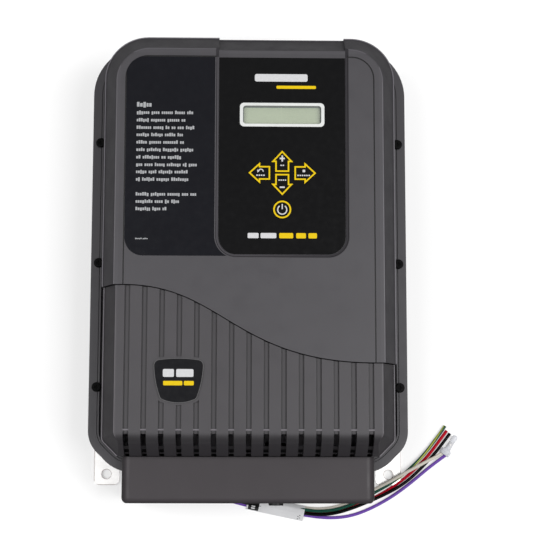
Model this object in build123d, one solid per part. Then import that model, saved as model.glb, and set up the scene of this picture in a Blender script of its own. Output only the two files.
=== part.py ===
"""Salt chlorine generator: the wall-mounted power centre of a pool, lying on its back.

Frame: +X to the unit's right, +Y towards its top, +Z out of its front face.
The origin is the centre of the back, on the surface that the wall bracket rests on.
"""
from build123d import *
from math import atan2, cos, degrees, hypot, pi, radians, sin, sqrt, tan
import os

# ---- driving dimensions, millimetres ----
FLANGE_HALF = 135.2
FLANGE_TOP = 199.0
FLANGE_BOTTOM = -170.5
FLANGE_RADII = (45.0, 25.0, 32.0)
FLANGE_CUT = 24.1
REAR_FLANGE_Z = 53.5
GASKET_Z = 57.0
FRONT_FLANGE_Z = 58.2
FLANGE_FRONT_Z = 62.0

TUB_HALF = 122.0
TUB_TOP = 186.0
TUB_BOTTOM = -159.5
TUB_R = 32.0
TUB_BACK_Z = 8.0
WALL = 3.0
FLOOR_Z = TUB_BACK_Z + WALL

COVER_HALF = 122.3
COVER_TOP = 195.6
COVER_R = 36.8
COVER_LOW = -130.0
CROWN_HALF = 111.2
CROWN_TOP = 180.6
CROWN_R = 28.0
FACE_Z = 118.0
CHAMFER_Z = 98.0
LEDGE = 0.9
EDGE_ROUND = 1.6

ACCESS_HALF = 120.8
ACCESS_CROWN_HALF = 109.4
ACCESS_BOTTOM = -157.0
ACCESS_UPPER_END = 30.0
ACCESS_RADII = (23.0, 6.0, 6.0)
ACCESS_CROWN_RADII = (14.0, 3.0, 3.0)
ACCESS_CUT = 12.5
ACCESS_CROWN_CUT = 9.0
ACCESS_BELOW = 12.0
ACCESS_LOW_RUN = 12.7
ACCESS_LOW_ROUND = 12.5
ACCESS_DROP = 1.2
ACCESS_WALL = 3.2
RIM_R = 19.2
LIP_INSET = 7.9
LIP_WIDTH = 1.4
TRENCH_WIDTH = 2.9
TRENCH_TOP_Y = 150.0
ACCESS_BASE_Z = 62.6
PARTING_GAP = 0.6

# S-shaped parting line between the front housing and the access cover
PARTING_LEFT_Y = -18.0
PARTING_RIGHT_Y = -81.3
PARTING_BEND = ((-102.2, PARTING_LEFT_Y), (-21.5, PARTING_LEFT_Y),
                (-12.5, PARTING_RIGHT_Y), (102.3, PARTING_RIGHT_Y))
FAR = 260.0

FACE_GROOVE_HALF = 103.1
FACE_GROOVE_TOP = 173.7
FACE_GROOVE_R = 19.0
FACE_GROOVE_WIDTH = 1.0
FACE_GROOVE_DEPTH = 0.8

RIB_PITCH = 14.2
RIB_COUNT = 15
GROOVE_WIDTH = 4.4
GROOVE_DEPTH = 2.0
GROOVE_END_Y = -135.2
LIP_END_Y = -136.5
SLOT_TOP_Y = -139.3
SLOT_BOTTOM_Y = -148.8
LOW_SLOT_TOP_Y = -151.4
LOW_SLOT_Z = 86.6

CHANNEL_LEFT = -25.9
CHANNEL_RIGHT = 79.6
CHANNEL_BOTTOM = 7.0
CHANNEL_R = 15.0
CHANNEL_RUN = 300.0
CHANNEL_MIDDLE = (CHANNEL_LEFT + CHANNEL_RIGHT) / 2
CHANNEL_DEPTH = 2.5
CHANNEL_FLOOR_Z = FACE_Z - CHANNEL_DEPTH
CHANNEL_WALL_TAPER = -46.0
OVERLAY_THICK = 0.8
OVERLAY_TOP = 173.2
OVERLAY_TOP_Z = CHANNEL_FLOOR_Z + OVERLAY_THICK

DISPLAY_X = 26.8
DISPLAY_Y = 124.4
BEZEL_SIZE = (70.3, 20.1)
WINDOW_SIZE = (65.0, 15.4)

KEY_X = 26.9
KEY_TOP_Z = OVERLAY_TOP_Z + 0.4
KEY_GAP = 0.3
KEY_LIP = 0.6
KEY_TRAVEL = 0.4
POWER_KEY_Y = 44.6
POWER_KEY_R = 7.6

SCREW_X = 128.6
SCREW_YS = (111.5, 6.8, -99.2)
SCREW_HEAD_R = 4.1
SCREW_HEAD_H = 2.6
SCREW_SHANK_R = 1.8
SCREW_HOLE_R = 2.2
SCREW_PILOT_R = 1.85

HOOD_HALF = 104.8
HOOD_TOP = -157.5
HOOD_BOTTOM = -196.0
HOOD_FRONT_Z = 86.0
HOOD_REAR_Z = 12.0
HOOD_EDGE_R = 7.0
HOOD_SCREW = (85.0, -166.5)

BRACKET_THICK = 2.5
PLATE_HALF = 110.0
EAR_TOP = -118.0
EAR_INNER = 113.0
EAR_OUTER = 135.5
EAR_BOTTOM = -182.4
EAR_HOLE = (124.5, -172.9)
EAR_HOLE_R = 4.0
KEYHOLE = (90.0, 150.0)
KEYHOLE_SLOT_R = 2.75
KEYHOLE_HEAD_R = 5.5
KEYHOLE_DROP = 11.0
BRACKET_SCREWS = [(x, y) for x in (-40.0, 40.0) for y in (150.0, -135.0)]

BUSHING_X = -34.0
BUSHING_Z = 20.0
BUSHING_FACE_Y = -165.0
GLAND_X = 24.3
GLAND_Z = 30.0
GLAND_TIP_Y = -199.0
CONDUIT_R = 11.1
CONDUIT_X = 75.0
PLUG_X = -80.0
CONDUIT_Z = 33.0

BOARD_Z = 21.0
BOARD_THICK = 1.6
BOARD_BOX = ((15.0, -70.0), (113.0, 165.0))
TRANSFORMER_XY = (-50.0, 80.0)
PARTITION_Y = -87.0
TERMINAL_XY = (35.0, -114.0)
TERMINAL_POLES = 6
GROUND_XY = (-65.0, -114.0)

UI_BOARD_Z = 98.0
UI_POSTS = [(x, y) for x in (-14.0, 68.0) for y in (24.0, 100.0)]

WIRE_D = 2.8
WIRE_ROUTES = {
    "wire_white": [
        (-30.9, -165.0, 18.7), (-30.9, -172.0, 18.7), (-29.6, -179.0, 14.2), (-25.6, -184.9, 8.4),
        (-18.5, -188.6, 4.5), (-9.4, -190.6, 2.5), (0.6, -192.1, 1.9), (16.0, -195.2, 2.0),
        (33.0, -198.7, 1.9), (50.6, -202.2, 2.0), (64.0, -203.3, 1.9), (78.0, -201.4, 2.0),
        (92.0, -196.2, 3.1), (104.0, -189.9, 4.5), (114.0, -184.5, 6.1), (125.0, -179.0, 7.4),
        (137.0, -172.1, 7.9), (149.0, -166.0, 7.4), (158.5, -160.9, 6.4), (166.3, -157.4, 5.0),
        (172.6, -153.6, 3.8)],
    "wire_green": [
        (-32.4, -165.0, 21.3), (-32.4, -173.0, 21.3), (-30.7, -181.0, 16.6), (-25.8, -187.1, 10.7),
        (-18.4, -190.7, 6.9), (-9.4, -192.7, 5.0), (0.4, -194.1, 4.5), (16.0, -196.9, 4.4),
        (33.0, -200.4, 4.5), (50.3, -203.8, 4.5), (64.0, -205.2, 4.5), (78.0, -203.6, 4.6),
        (92.0, -199.1, 4.4), (104.0, -193.5, 4.3), (114.0, -188.1, 4.3), (126.0, -181.3, 4.7),
        (138.7, -171.6, 4.6), (149.0, -162.6, 3.5), (158.5, -152.6, 2.3), (166.8, -141.9, 1.6),
        (172.2, -134.9, 1.5), (175.5, -130.0, 1.5)],
    "wire_black": [
        (-34.0, -165.0, 18.7), (-34.0, -172.4, 18.7), (-32.8, -180.4, 14.2), (-27.9, -187.6, 8.4),
        (-19.8, -192.2, 4.5), (-10.1, -194.6, 2.5), (0.0, -196.1, 1.9), (16.0, -199.2, 2.0),
        (33.0, -202.2, 1.9), (50.0, -205.1, 1.9), (63.0, -206.5, 1.6), (76.5, -205.2, 1.5),
        (90.0, -202.1, 1.6), (102.0, -198.4, 1.5), (112.5, -194.0, 1.6), (124.0, -188.8, 1.5),
        (134.6, -183.4, 1.6), (143.6, -176.4, 1.5), (152.2, -168.6, 1.6), (160.2, -160.6, 1.5),
        (168.0, -151.8, 1.6), (174.6, -143.3, 1.5), (179.7, -136.6, 1.5)],
    "wire_red": [
        (-35.6, -165.0, 21.3), (-35.6, -173.4, 21.3), (-33.8, -182.3, 16.6), (-28.2, -189.8, 10.7),
        (-19.7, -194.2, 6.9), (-10.2, -196.6, 5.0), (-0.2, -198.1, 4.5), (16.0, -200.6, 4.4),
        (33.0, -203.8, 4.5), (49.7, -206.7, 4.5), (63.0, -208.3, 4.3), (76.5, -207.2, 4.4),
        (90.0, -203.2, 4.5), (102.0, -198.3, 4.4), (113.2, -192.4, 4.5), (123.0, -186.8, 4.9),
        (132.1, -180.8, 5.1), (141.0, -174.2, 4.7), (149.0, -167.3, 4.3), (156.6, -160.0, 3.7),
        (163.4, -152.0, 3.2), (170.5, -142.6, 2.5), (176.9, -134.2, 1.6)],
    "wire_violet": [
        (-37.1, -165.0, 18.7), (-37.1, -172.8, 18.7), (-35.9, -181.8, 14.2), (-30.3, -190.3, 8.4),
        (-21.2, -195.7, 4.5), (-10.9, -198.5, 2.5), (-0.6, -200.0, 1.9), (16.0, -202.8, 2.0),
        (33.0, -205.3, 1.9), (49.4, -208.2, 1.9), (63.0, -210.2, 1.6), (77.0, -210.8, 1.5),
        (91.0, -209.0, 1.6), (104.5, -204.4, 1.5), (117.5, -198.0, 1.6), (129.0, -191.2, 1.5),
        (139.5, -183.7, 1.6), (148.8, -176.4, 1.5), (157.4, -169.2, 1.6), (165.0, -163.3, 2.2),
        (171.0, -158.8, 3.0), (175.6, -155.5, 3.5)],
}

SLEEVE_START = (-0.2, -196.6)
SLEEVE_END = (49.6, -207.0)
SLEEVE_WIDTH = 13.7
SLEEVE_Z = (0.1, 6.3)
SLEEVE_WALL = 0.35

CRIMP_MOUTH = (173.6, -155.3, 3.5)
CRIMP_HEADING = 56.3
CRIMP_MOUTH_SIZE = (9.8, 6.6)
CRIMP_MOUTH_LENGTH = 5.0
CRIMP_BARREL_R = 2.7
CRIMP_BARREL_LENGTH = 15.2


# ---- helpers ----
UPWARD = (Align.CENTER, Align.CENTER, Align.MIN)


def box_between(low, high):
    """A box given by its lowest and highest corners."""
    size = [h - l for l, h in zip(low, high)]
    middle = [(h + l) / 2 for l, h in zip(low, high)]
    return Pos(*middle) * Box(*size)


def slab(half, bottom, top, radius, low_z, high_z):
    """A plate with rounded corners, centred on X."""
    outline = Pos(0, (top + bottom) / 2, low_z) * RectangleRounded(2 * half, top - bottom, radius)
    return extrude(outline, amount=high_z - low_z)


def cut_outline(half, bottom, top, radii, cut):
    """A plan with round upper corners and lower corners cut at 45 degrees and blended."""
    points = [(half, top), (-half, top), (-half, bottom + cut), (-half + cut, bottom),
              (half - cut, bottom), (half, bottom + cut)]
    outline = make_face(Polyline(*points, close=True))
    for level, radius in zip((top, bottom + cut, bottom), radii):
        corners = [vertex for vertex in outline.vertices() if abs(vertex.Y - level) < 1e-4]
        outline = fillet(corners, radius)
    return outline


def flange_slab(inset, low_z, high_z):
    """The flange's plan drawn in by inset, as a plate."""
    radii = [radius - inset for radius in FLANGE_RADII]
    outline = cut_outline(FLANGE_HALF - inset, FLANGE_BOTTOM + inset, FLANGE_TOP - inset, radii,
                          FLANGE_CUT - (2 - sqrt(2)) * inset)
    return extrude(Pos(0, 0, low_z) * outline, amount=high_z - low_z)


def flange_ring(inset, width, low_z, high_z):
    """A frame of that width that follows the flange's edge."""
    return flange_slab(inset, low_z, high_z) - flange_slab(inset + width, low_z - 1, high_z + 1)


def ring(half, bottom, top, radius, width, low_z, high_z):
    """The frame left when a smaller slab is cut from a slab."""
    outer = slab(half, bottom, top, radius, low_z, high_z)
    inner = slab(half - width, bottom + width, top - width, radius - width, low_z - 1, high_z + 1)
    return outer - inner


def post(x, y, low_z, high_z, radius):
    """A round post along Z."""
    return Pos(x, y, low_z) * Cylinder(radius, high_z - low_z, align=UPWARD)


def pin_y(x, z, start_y, end_y, radius, end_radius=None):
    """A round pin or cone along Y, from start_y to end_y."""
    length = abs(end_y - start_y)
    direction = 1 if end_y > start_y else -1
    base = Plane(origin=(x, start_y, z), x_dir=(1, 0, 0), z_dir=(0, direction, 0))
    if end_radius is None:
        return base * Cylinder(radius, length, align=UPWARD)
    return base * Cone(radius, end_radius, length, align=UPWARD)


def hex_y(x, z, start_y, end_y, radius):
    """A hexagonal prism along Y."""
    base = Plane(origin=(x, start_y, z), x_dir=(1, 0, 0), z_dir=(0, -1, 0))
    return extrude(base * RegularPolygon(radius, 6), amount=start_y - end_y)


def pan_screw(x, y, seat_z, shank_length, head_r=SCREW_HEAD_R, shank_r=SCREW_SHANK_R, up=1):
    """A pan-head screw with a cross recess; up=1 puts the head on the +Z side of its seat."""
    head = Cylinder(head_r, SCREW_HEAD_H, align=UPWARD)
    rim = head.edges().sort_by(Axis.Z)[-1]
    head = fillet(rim, 1.1)
    shank = Cylinder(shank_r, shank_length, align=(Align.CENTER, Align.CENTER, Align.MAX))
    arm = head_r * 0.95
    recess = Pos(0, 0, SCREW_HEAD_H) * (Box(arm, 0.9, 2.4) + Box(0.9, arm, 2.4))
    screw = head + shank - recess
    facing = Plane(origin=(x, y, seat_z), x_dir=(1, 0, 0), z_dir=(0, 0, up))
    return facing * screw


def group(solids):
    """Separate solids kept together in one node."""
    return Compound(children=list(solids))


def cover_block(skirt, ledge, crown, base_z, chamfer_z, face_z, edge_radius):
    """Solid cover: an upright skirt, a narrow ledge, a steep chamfer and a crisp edge to the face."""
    block = extrude(Pos(0, 0, base_z) * skirt, amount=chamfer_z - base_z)
    block += loft([Pos(0, 0, chamfer_z) * ledge, Pos(0, 0, face_z) * crown], ruled=True)
    if edge_radius:
        block = fillet(block.faces().sort_by(Axis.Z)[-1].edges(), edge_radius)
    return block


def round_plan(half, bottom, top, radius):
    """A rounded rectangle centred on X, given by its lowest and highest Y."""
    return Pos(0, (top + bottom) / 2, 0) * RectangleRounded(2 * half, top - bottom, radius)


def upper_block(inset=0.0, sink=0.0):
    """The upper cover's outer shape, drawn in by inset at its sides and by sink at its face."""
    low = COVER_LOW + inset
    skirt = round_plan(COVER_HALF - inset, low, COVER_TOP - inset, COVER_R - inset)
    drawn = inset + LEDGE
    ledge = round_plan(COVER_HALF - drawn, low + LEDGE, COVER_TOP - drawn, COVER_R - drawn)
    crown = round_plan(CROWN_HALF - inset, low + 12, CROWN_TOP - inset, CROWN_R - inset)
    return cover_block(skirt, ledge, crown, FRONT_FLANGE_Z, CHAMFER_Z - sink, FACE_Z - sink,
                       0.0 if inset else EDGE_ROUND)


def access_profile(inset, drop):
    """Everything behind the access cover's bottom wall, slope and rounded lower edge."""
    bottom = ACCESS_BOTTOM + inset
    points = [(bottom, ACCESS_BASE_Z - 1), (bottom, CHAMFER_Z - drop),
              (bottom + ACCESS_LOW_RUN, FACE_Z - drop), (FAR, FACE_Z - drop), (FAR, ACCESS_BASE_Z - 1)]
    outline = make_face(Polyline(*points, close=True))
    corner = outline.vertices().sort_by_distance((bottom + ACCESS_LOW_RUN, FACE_Z - drop, 0))[0]
    outline = fillet(corner, ACCESS_LOW_ROUND - inset)
    side = Plane(origin=(-FAR, 0, 0), x_dir=(0, 1, 0), z_dir=(1, 0, 0))
    return extrude(side * outline, amount=2 * FAR)


def access_block(inset=0.0, sink=0.0):
    """The access cover's outer shape before its S-shaped edge is cut."""
    drop = ACCESS_DROP + sink
    low = ACCESS_BOTTOM - ACCESS_BELOW
    cut = ACCESS_CUT + ACCESS_BELOW
    drawn = inset + LEDGE
    slant = 2 - sqrt(2)
    top = ACCESS_UPPER_END
    skirt = cut_outline(ACCESS_HALF - inset, low + inset, top - inset,
                        [radius - inset for radius in ACCESS_RADII], cut - slant * inset)
    ledge = cut_outline(ACCESS_HALF - drawn, low + drawn, top - drawn,
                        [radius - drawn for radius in ACCESS_RADII], cut - slant * drawn)
    crown = cut_outline(ACCESS_CROWN_HALF - inset, low + inset + ACCESS_CROWN_CUT, top - inset - ACCESS_CROWN_CUT,
                        [radius - inset / 2 for radius in ACCESS_CROWN_RADII], cut - slant * inset - 4.0)
    block = cover_block(skirt, ledge, crown, ACCESS_BASE_Z, CHAMFER_Z - drop, FACE_Z - drop,
                        0.0 if inset else EDGE_ROUND)
    return block & access_profile(inset, drop)


def parting_region(shift, upper, low_z=40.0, high_z=140.0):
    """Everything on one side of the S-shaped parting line, moved by shift along Y."""
    bend = [(x, y + shift) for x, y in PARTING_BEND]
    far_y = FAR if upper else -FAR
    start = (-FAR, bend[0][1])
    end = (FAR, bend[-1][1])
    edges = [Line(start, bend[0]), Bezier(*bend), Line(bend[-1], end), Line(end, (FAR, far_y)),
             Line((FAR, far_y), (-FAR, far_y)), Line((-FAR, far_y), start)]
    face = make_face(Wire(edges))
    return extrude(Pos(0, 0, low_z) * face, amount=high_z - low_z, dir=(0, 0, 1))


def arrow(head_x, head_y, direction, grow=0.0):
    """A house-shaped arrow outline: head point, direction in degrees, grown all round."""
    head_length = 10.0
    half_head = 9.3
    half_stem = 5.9
    length = 18.2
    points = [(0, 0), (-head_length, half_head), (-head_length, half_stem), (-length, half_stem),
              (-length, -half_stem), (-head_length, -half_stem), (-head_length, -half_head)]
    outline = make_face(Polyline(*points, close=True))
    if grow:
        outline = offset(outline, amount=grow, kind=Kind.INTERSECTION)
    return Pos(head_x, head_y, 0) * Rot(0, 0, direction) * outline


KEYS = {
    "key_up": lambda grow: arrow(KEY_X, 94.2, 90, grow),
    "key_down": lambda grow: arrow(KEY_X, 56.3, -90, grow),
    "key_back": lambda grow: arrow(-1.2, 75.2, 180, grow),
    "key_select": lambda grow: arrow(55.1, 75.2, 0, grow),
    "key_power": lambda grow: Pos(KEY_X, POWER_KEY_Y, 0) * Circle(POWER_KEY_R + grow),
}


# ---- enclosure ----
def wall_bracket():
    """Sheet-metal back plate with lower ears that take wall bolts and upper keyholes."""
    plate = box_between((-PLATE_HALF, -150, 0), (PLATE_HALF, 170, BRACKET_THICK))
    plate += box_between((-EAR_OUTER, -150, 0), (EAR_OUTER, EAR_TOP, BRACKET_THICK))
    for side in (-1, 1):
        ear = Pos(side * (EAR_INNER + EAR_OUTER) / 2, (EAR_BOTTOM + EAR_TOP) / 2, 0)
        outline = ear * RectangleRounded(EAR_OUTER - EAR_INNER, EAR_TOP - EAR_BOTTOM, 5.0)
        plate += extrude(outline, amount=BRACKET_THICK)
    for side in (-1, 1):
        plate -= post(side * EAR_HOLE[0], EAR_HOLE[1], -1, BRACKET_THICK + 1, EAR_HOLE_R)
        x, y = side * KEYHOLE[0], KEYHOLE[1]
        plate -= post(x, y, -1, BRACKET_THICK + 1, KEYHOLE_SLOT_R)
        plate -= box_between((x - KEYHOLE_SLOT_R, y - KEYHOLE_DROP, -1),
                             (x + KEYHOLE_SLOT_R, y, BRACKET_THICK + 1))
        plate -= post(x, y - KEYHOLE_DROP, -1, BRACKET_THICK + 1, KEYHOLE_HEAD_R)
    for x, y in BRACKET_SCREWS:
        plate -= Pos(x, y, -0.01) * Cone(5.2, 2.6, BRACKET_THICK + 0.02, align=UPWARD)
    return plate


def bracket_screws():
    """Flat-head screws, flush in the bracket's countersinks."""
    screws = []
    for x, y in BRACKET_SCREWS:
        head = Pos(x, y, 0.1) * Cone(4.9, 2.4, BRACKET_THICK - 0.1, align=UPWARD)
        socket = post(x, y, -1, 1.4, 1.6)
        screws.append(head + post(x, y, BRACKET_THICK, 9.6, 2.4) - socket)
    return group(screws)


def rear_housing():
    """Tub with a flange, screw bosses, feet for the bracket and the cable entries."""
    tub = slab(TUB_HALF, TUB_BOTTOM, TUB_TOP, TUB_R, TUB_BACK_Z, GASKET_Z)
    tub += flange_slab(0, REAR_FLANGE_Z, GASKET_Z)
    tub -= slab(TUB_HALF - WALL, TUB_BOTTOM + WALL, TUB_TOP - WALL, TUB_R - WALL, FLOOR_Z, GASKET_Z + 1)
    for side in (-1, 1):
        for y in SCREW_YS:
            boss_x = side * SCREW_X
            tub += post(boss_x, y, 40, REAR_FLANGE_Z, 5.0)
            web_x = sorted((boss_x, side * TUB_HALF))
            tub += box_between((web_x[0], y - 1.5, 40), (web_x[1], y + 1.5, REAR_FLANGE_Z))
            tub -= post(boss_x, y, 43, GASKET_Z + 1, SCREW_PILOT_R)
        tub -= post(side * HOOD_SCREW[0], HOOD_SCREW[1], REAR_FLANGE_Z - 1, GASKET_Z + 1, SCREW_HOLE_R)
    for x, y in BRACKET_SCREWS:
        tub += post(x, y, BRACKET_THICK, TUB_BACK_Z, 8.0) + post(x, y, FLOOR_Z, FLOOR_Z + 4, 6.0)
        tub -= post(x, y, BRACKET_THICK - 1, 11.5, 2.45)
    tub += post(*TRANSFORMER_XY, FLOOR_Z, 30.0, 9.0)
    tub -= post(*TRANSFORMER_XY, 12.5, 31.0, 4.05)
    inside_y = TUB_BOTTOM + WALL + 1
    tub -= pin_y(BUSHING_X, BUSHING_Z, inside_y, TUB_BOTTOM - 1, 7.5)
    tub -= pin_y(GLAND_X, GLAND_Z, inside_y, TUB_BOTTOM - 1, 10.0)
    for x in (CONDUIT_X, PLUG_X):
        tub -= pin_y(x, CONDUIT_Z, inside_y, TUB_BOTTOM - 1, CONDUIT_R)
    return tub


def housing_gasket():
    """Flat rubber frame between the two housing flanges."""
    return ring(124.3, -161.8, 188.3, 34.1, 4.0, GASKET_Z, FRONT_FLANGE_Z)


def channel_outline(low_z):
    """Plan of the recessed control channel, carried past the top edge."""
    place = Pos(CHANNEL_MIDDLE, CHANNEL_BOTTOM + CHANNEL_RUN / 2, low_z)
    return place * RectangleRounded(CHANNEL_RIGHT - CHANNEL_LEFT, CHANNEL_RUN, CHANNEL_R)


def channel_void():
    """The recess for the keypad: flat floor, slanted walls, carried over the top edge."""
    low = extrude(channel_outline(70.0), amount=CHANNEL_FLOOR_Z - 70.0)
    high = extrude(channel_outline(CHANNEL_FLOOR_Z), amount=6.0, taper=CHANNEL_WALL_TAPER)
    kept = upper_block(inset=1.0, sink=CHANNEL_DEPTH)
    return low + high - kept


def channel_pan():
    """Material behind the channel floor, as thick as the other walls."""
    margin = 2 * WALL
    width = CHANNEL_RIGHT - CHANNEL_LEFT + 2 * margin
    place = Pos(CHANNEL_MIDDLE, CHANNEL_BOTTOM - margin + CHANNEL_RUN / 2, CHANNEL_FLOOR_Z - WALL)
    return extrude(place * RectangleRounded(width, CHANNEL_RUN, CHANNEL_R + margin), amount=WALL + 0.5)


def face_groove():
    """Fine groove that frames the flat part of the face."""
    half_width = FACE_GROOVE_WIDTH / 2
    return ring(FACE_GROOVE_HALF + half_width, -150, FACE_GROOVE_TOP + half_width, FACE_GROOVE_R,
                FACE_GROOVE_WIDTH, FACE_Z - FACE_GROOVE_DEPTH, FACE_Z + 2)


def front_housing():
    """Flange, skirt, upper face with the S-shaped edge, and the deck under the access cover."""
    above = parting_region(0, True)
    shell = upper_block() & above
    hollow = upper_block(inset=WALL, sink=WALL) & parting_region(WALL + 0.5, True)
    plate = flange_slab(0, FRONT_FLANGE_Z, FLANGE_FRONT_Z)
    plate -= slab(110.0, -150.0, PARTITION_Y - 1, 14.0, FRONT_FLANGE_Z - 1, FLANGE_FRONT_Z + 1)
    rim = ring(ACCESS_HALF - 3.8, ACCESS_BOTTOM + 3.8, 30.0, RIM_R, 2.5, FLANGE_FRONT_Z, 84.0)
    rim &= parting_region(2.0, False)
    lip = flange_ring(LIP_INSET, LIP_WIDTH, FLANGE_FRONT_Z, FLANGE_FRONT_Z + 1.4)
    lip -= box_between((-HOOD_HALF - 1, FLANGE_BOTTOM, 60), (HOOD_HALF + 1, HOOD_TOP + 1, 70))
    housing = plate + shell + rim + lip - hollow + (channel_pan() & upper_block())
    housing -= flange_ring(LIP_INSET - 0.7, 0.7, FLANGE_FRONT_Z - 0.8, FLANGE_FRONT_Z + 0.01)
    trench = flange_ring(LIP_INSET + LIP_WIDTH, TRENCH_WIDTH, FLANGE_FRONT_Z - 2.4, FLANGE_FRONT_Z + 0.01)
    housing -= trench & box_between((-FAR, ACCESS_BOTTOM, 50), (FAR, TRENCH_TOP_Y, 70))
    for side in (-1, 1):
        for y in SCREW_YS:
            housing -= post(side * SCREW_X, y, FLANGE_FRONT_Z, FLANGE_FRONT_Z + 8, SCREW_HEAD_R + 0.5)
            housing -= post(side * SCREW_X, y, FRONT_FLANGE_Z - 1, FLANGE_FRONT_Z + 1, SCREW_HOLE_R)
        x, y = side * HOOD_SCREW[0], HOOD_SCREW[1]
        housing -= post(x, y, FRONT_FLANGE_Z - 1, FLANGE_FRONT_Z + 1, SCREW_HOLE_R)
    housing -= channel_void()
    housing -= face_groove() & above
    window = Pos(DISPLAY_X, DISPLAY_Y, 100) * RectangleRounded(WINDOW_SIZE[0] + 1.0, WINDOW_SIZE[1] + 1.0, 2.8)
    housing -= extrude(window, amount=30)
    for outline in KEYS.values():
        housing -= extrude(Pos(0, 0, 100) * outline(KEY_GAP), amount=30)
    inner_z = CHANNEL_FLOOR_Z - WALL
    for x, y in UI_POSTS:
        housing += post(x, y, UI_BOARD_Z + BOARD_THICK, inner_z, 4.0)
        housing -= post(x, y, UI_BOARD_Z, inner_z, 1.45)
    return housing


def cover_screws():
    """Six pan-head screws through the flange."""
    return group(pan_screw(side * SCREW_X, y, FLANGE_FRONT_Z, 18.0) for side in (-1, 1) for y in SCREW_YS)


def groove_strips(bottom, top, depth_of):
    """Fifteen strips cut to depth_of below the access cover's outer surface."""
    first = -RIB_PITCH * (RIB_COUNT - 1) / 2
    strips = [box_between((first + i * RIB_PITCH - GROOVE_WIDTH / 2, bottom, 60),
                          (first + i * RIB_PITCH + GROOVE_WIDTH / 2, top, 130)) for i in range(RIB_COUNT)]
    return Part() + strips - access_block(inset=depth_of, sink=depth_of)


def badge_outline(grow=0.0):
    """Shield: slightly arched top, bowed sides drawn in towards a rounded bottom."""
    centre_x = -57.0
    half_top = 20.4 + grow
    half_middle = 18.7 + grow
    half_low = 14.8 + grow
    top = -80.0 + grow
    low = -111.2 - grow
    arch = 1.9
    across = ThreePointArc((centre_x - half_top, top), (centre_x, top + arch), (centre_x + half_top, top))
    side = ThreePointArc((centre_x + half_top, top), (centre_x + half_middle, -98.0), (centre_x + half_low, low))
    bottom = ThreePointArc((centre_x + half_low, low), (centre_x, -114.7 - grow), (centre_x - half_low, low))
    other = ThreePointArc((centre_x - half_low, low), (centre_x - half_middle, -98.0), (centre_x - half_top, top))
    face = make_face(Wire([across, side, bottom, other]))
    return fillet(face.vertices(), 5.0)


def access_cover():
    """Lift-off lower cover with fifteen grooves that run out in vent slots."""
    below = parting_region(-PARTING_GAP, False)
    shell = access_block() & below
    shell -= access_block(inset=ACCESS_WALL, sink=ACCESS_WALL)
    inner_radii = [radius - ACCESS_WALL for radius in ACCESS_RADII]
    opening = cut_outline(ACCESS_HALF - ACCESS_WALL, ACCESS_BOTTOM + ACCESS_WALL, 40.0, inner_radii,
                          ACCESS_CUT - (2 - sqrt(2)) * ACCESS_WALL)
    shell -= extrude(Pos(0, 0, ACCESS_BASE_Z - 1) * opening, amount=81.0 - ACCESS_BASE_Z)
    pad = extrude(Pos(0, 0, 100) * badge_outline(1.6), amount=30)
    shell -= groove_strips(GROOVE_END_Y, 40.0, GROOVE_DEPTH) - pad
    shell -= groove_strips(ACCESS_BOTTOM - 1, LIP_END_Y, GROOVE_DEPTH)
    first = -RIB_PITCH * (RIB_COUNT - 1) / 2
    for i in range(RIB_COUNT):
        x = first + i * RIB_PITCH
        shell -= box_between((x - GROOVE_WIDTH / 2, SLOT_BOTTOM_Y, 90), (x + GROOVE_WIDTH / 2, SLOT_TOP_Y, 130))
        shell -= box_between((x - GROOVE_WIDTH / 2, ACCESS_BOTTOM - 1, LOW_SLOT_Z),
                             (x + GROOVE_WIDTH / 2, LOW_SLOT_TOP_Y, 130))
    return shell


def badge():
    """Plain shield-shaped plate on the access cover."""
    top_z = FACE_Z - ACCESS_DROP
    return extrude(Pos(0, 0, top_z) * badge_outline(), amount=1.2)


def bottom_hood():
    """Open-backed hood over the cable entries."""
    depth = HOOD_FRONT_Z - HOOD_REAR_Z
    block = box_between((-HOOD_HALF, HOOD_BOTTOM, HOOD_REAR_Z), (HOOD_HALF, HOOD_TOP, HOOD_FRONT_Z))
    upright = block.edges().filter_by(Axis.Y).group_by(Axis.Z)[-1]
    block = fillet(upright, HOOD_EDGE_R)
    corners = block.edges().filter_by(Axis.Z).group_by(Axis.Y)[0]
    block = fillet(corners, 5.0)
    hollow = box_between((-HOOD_HALF + WALL, HOOD_BOTTOM - 1, HOOD_REAR_Z - 1),
                         (HOOD_HALF - WALL, HOOD_TOP - WALL, HOOD_FRONT_Z - WALL))
    inner_edges = hollow.edges().filter_by(Axis.Y).group_by(Axis.Z)[-1]
    hollow = fillet(inner_edges, HOOD_EDGE_R - WALL)
    hood = block - hollow
    for side in (-1, 1):
        x, y = side * HOOD_SCREW[0], HOOD_SCREW[1]
        hood += post(x, y, FLANGE_FRONT_Z, HOOD_FRONT_Z - WALL, 5.0)
        hood -= post(x, y, FLANGE_FRONT_Z - 1, 77.0, SCREW_PILOT_R)
    return hood - box_between((-150, FLANGE_BOTTOM - 0.3, 0), (150, -140, FLANGE_FRONT_Z))


def hood_screws():
    """Two screws from behind the flanges into the hood's posts."""
    return group(pan_screw(side * HOOD_SCREW[0], HOOD_SCREW[1], REAR_FLANGE_Z, 22.0, up=-1) for side in (-1, 1))


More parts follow.
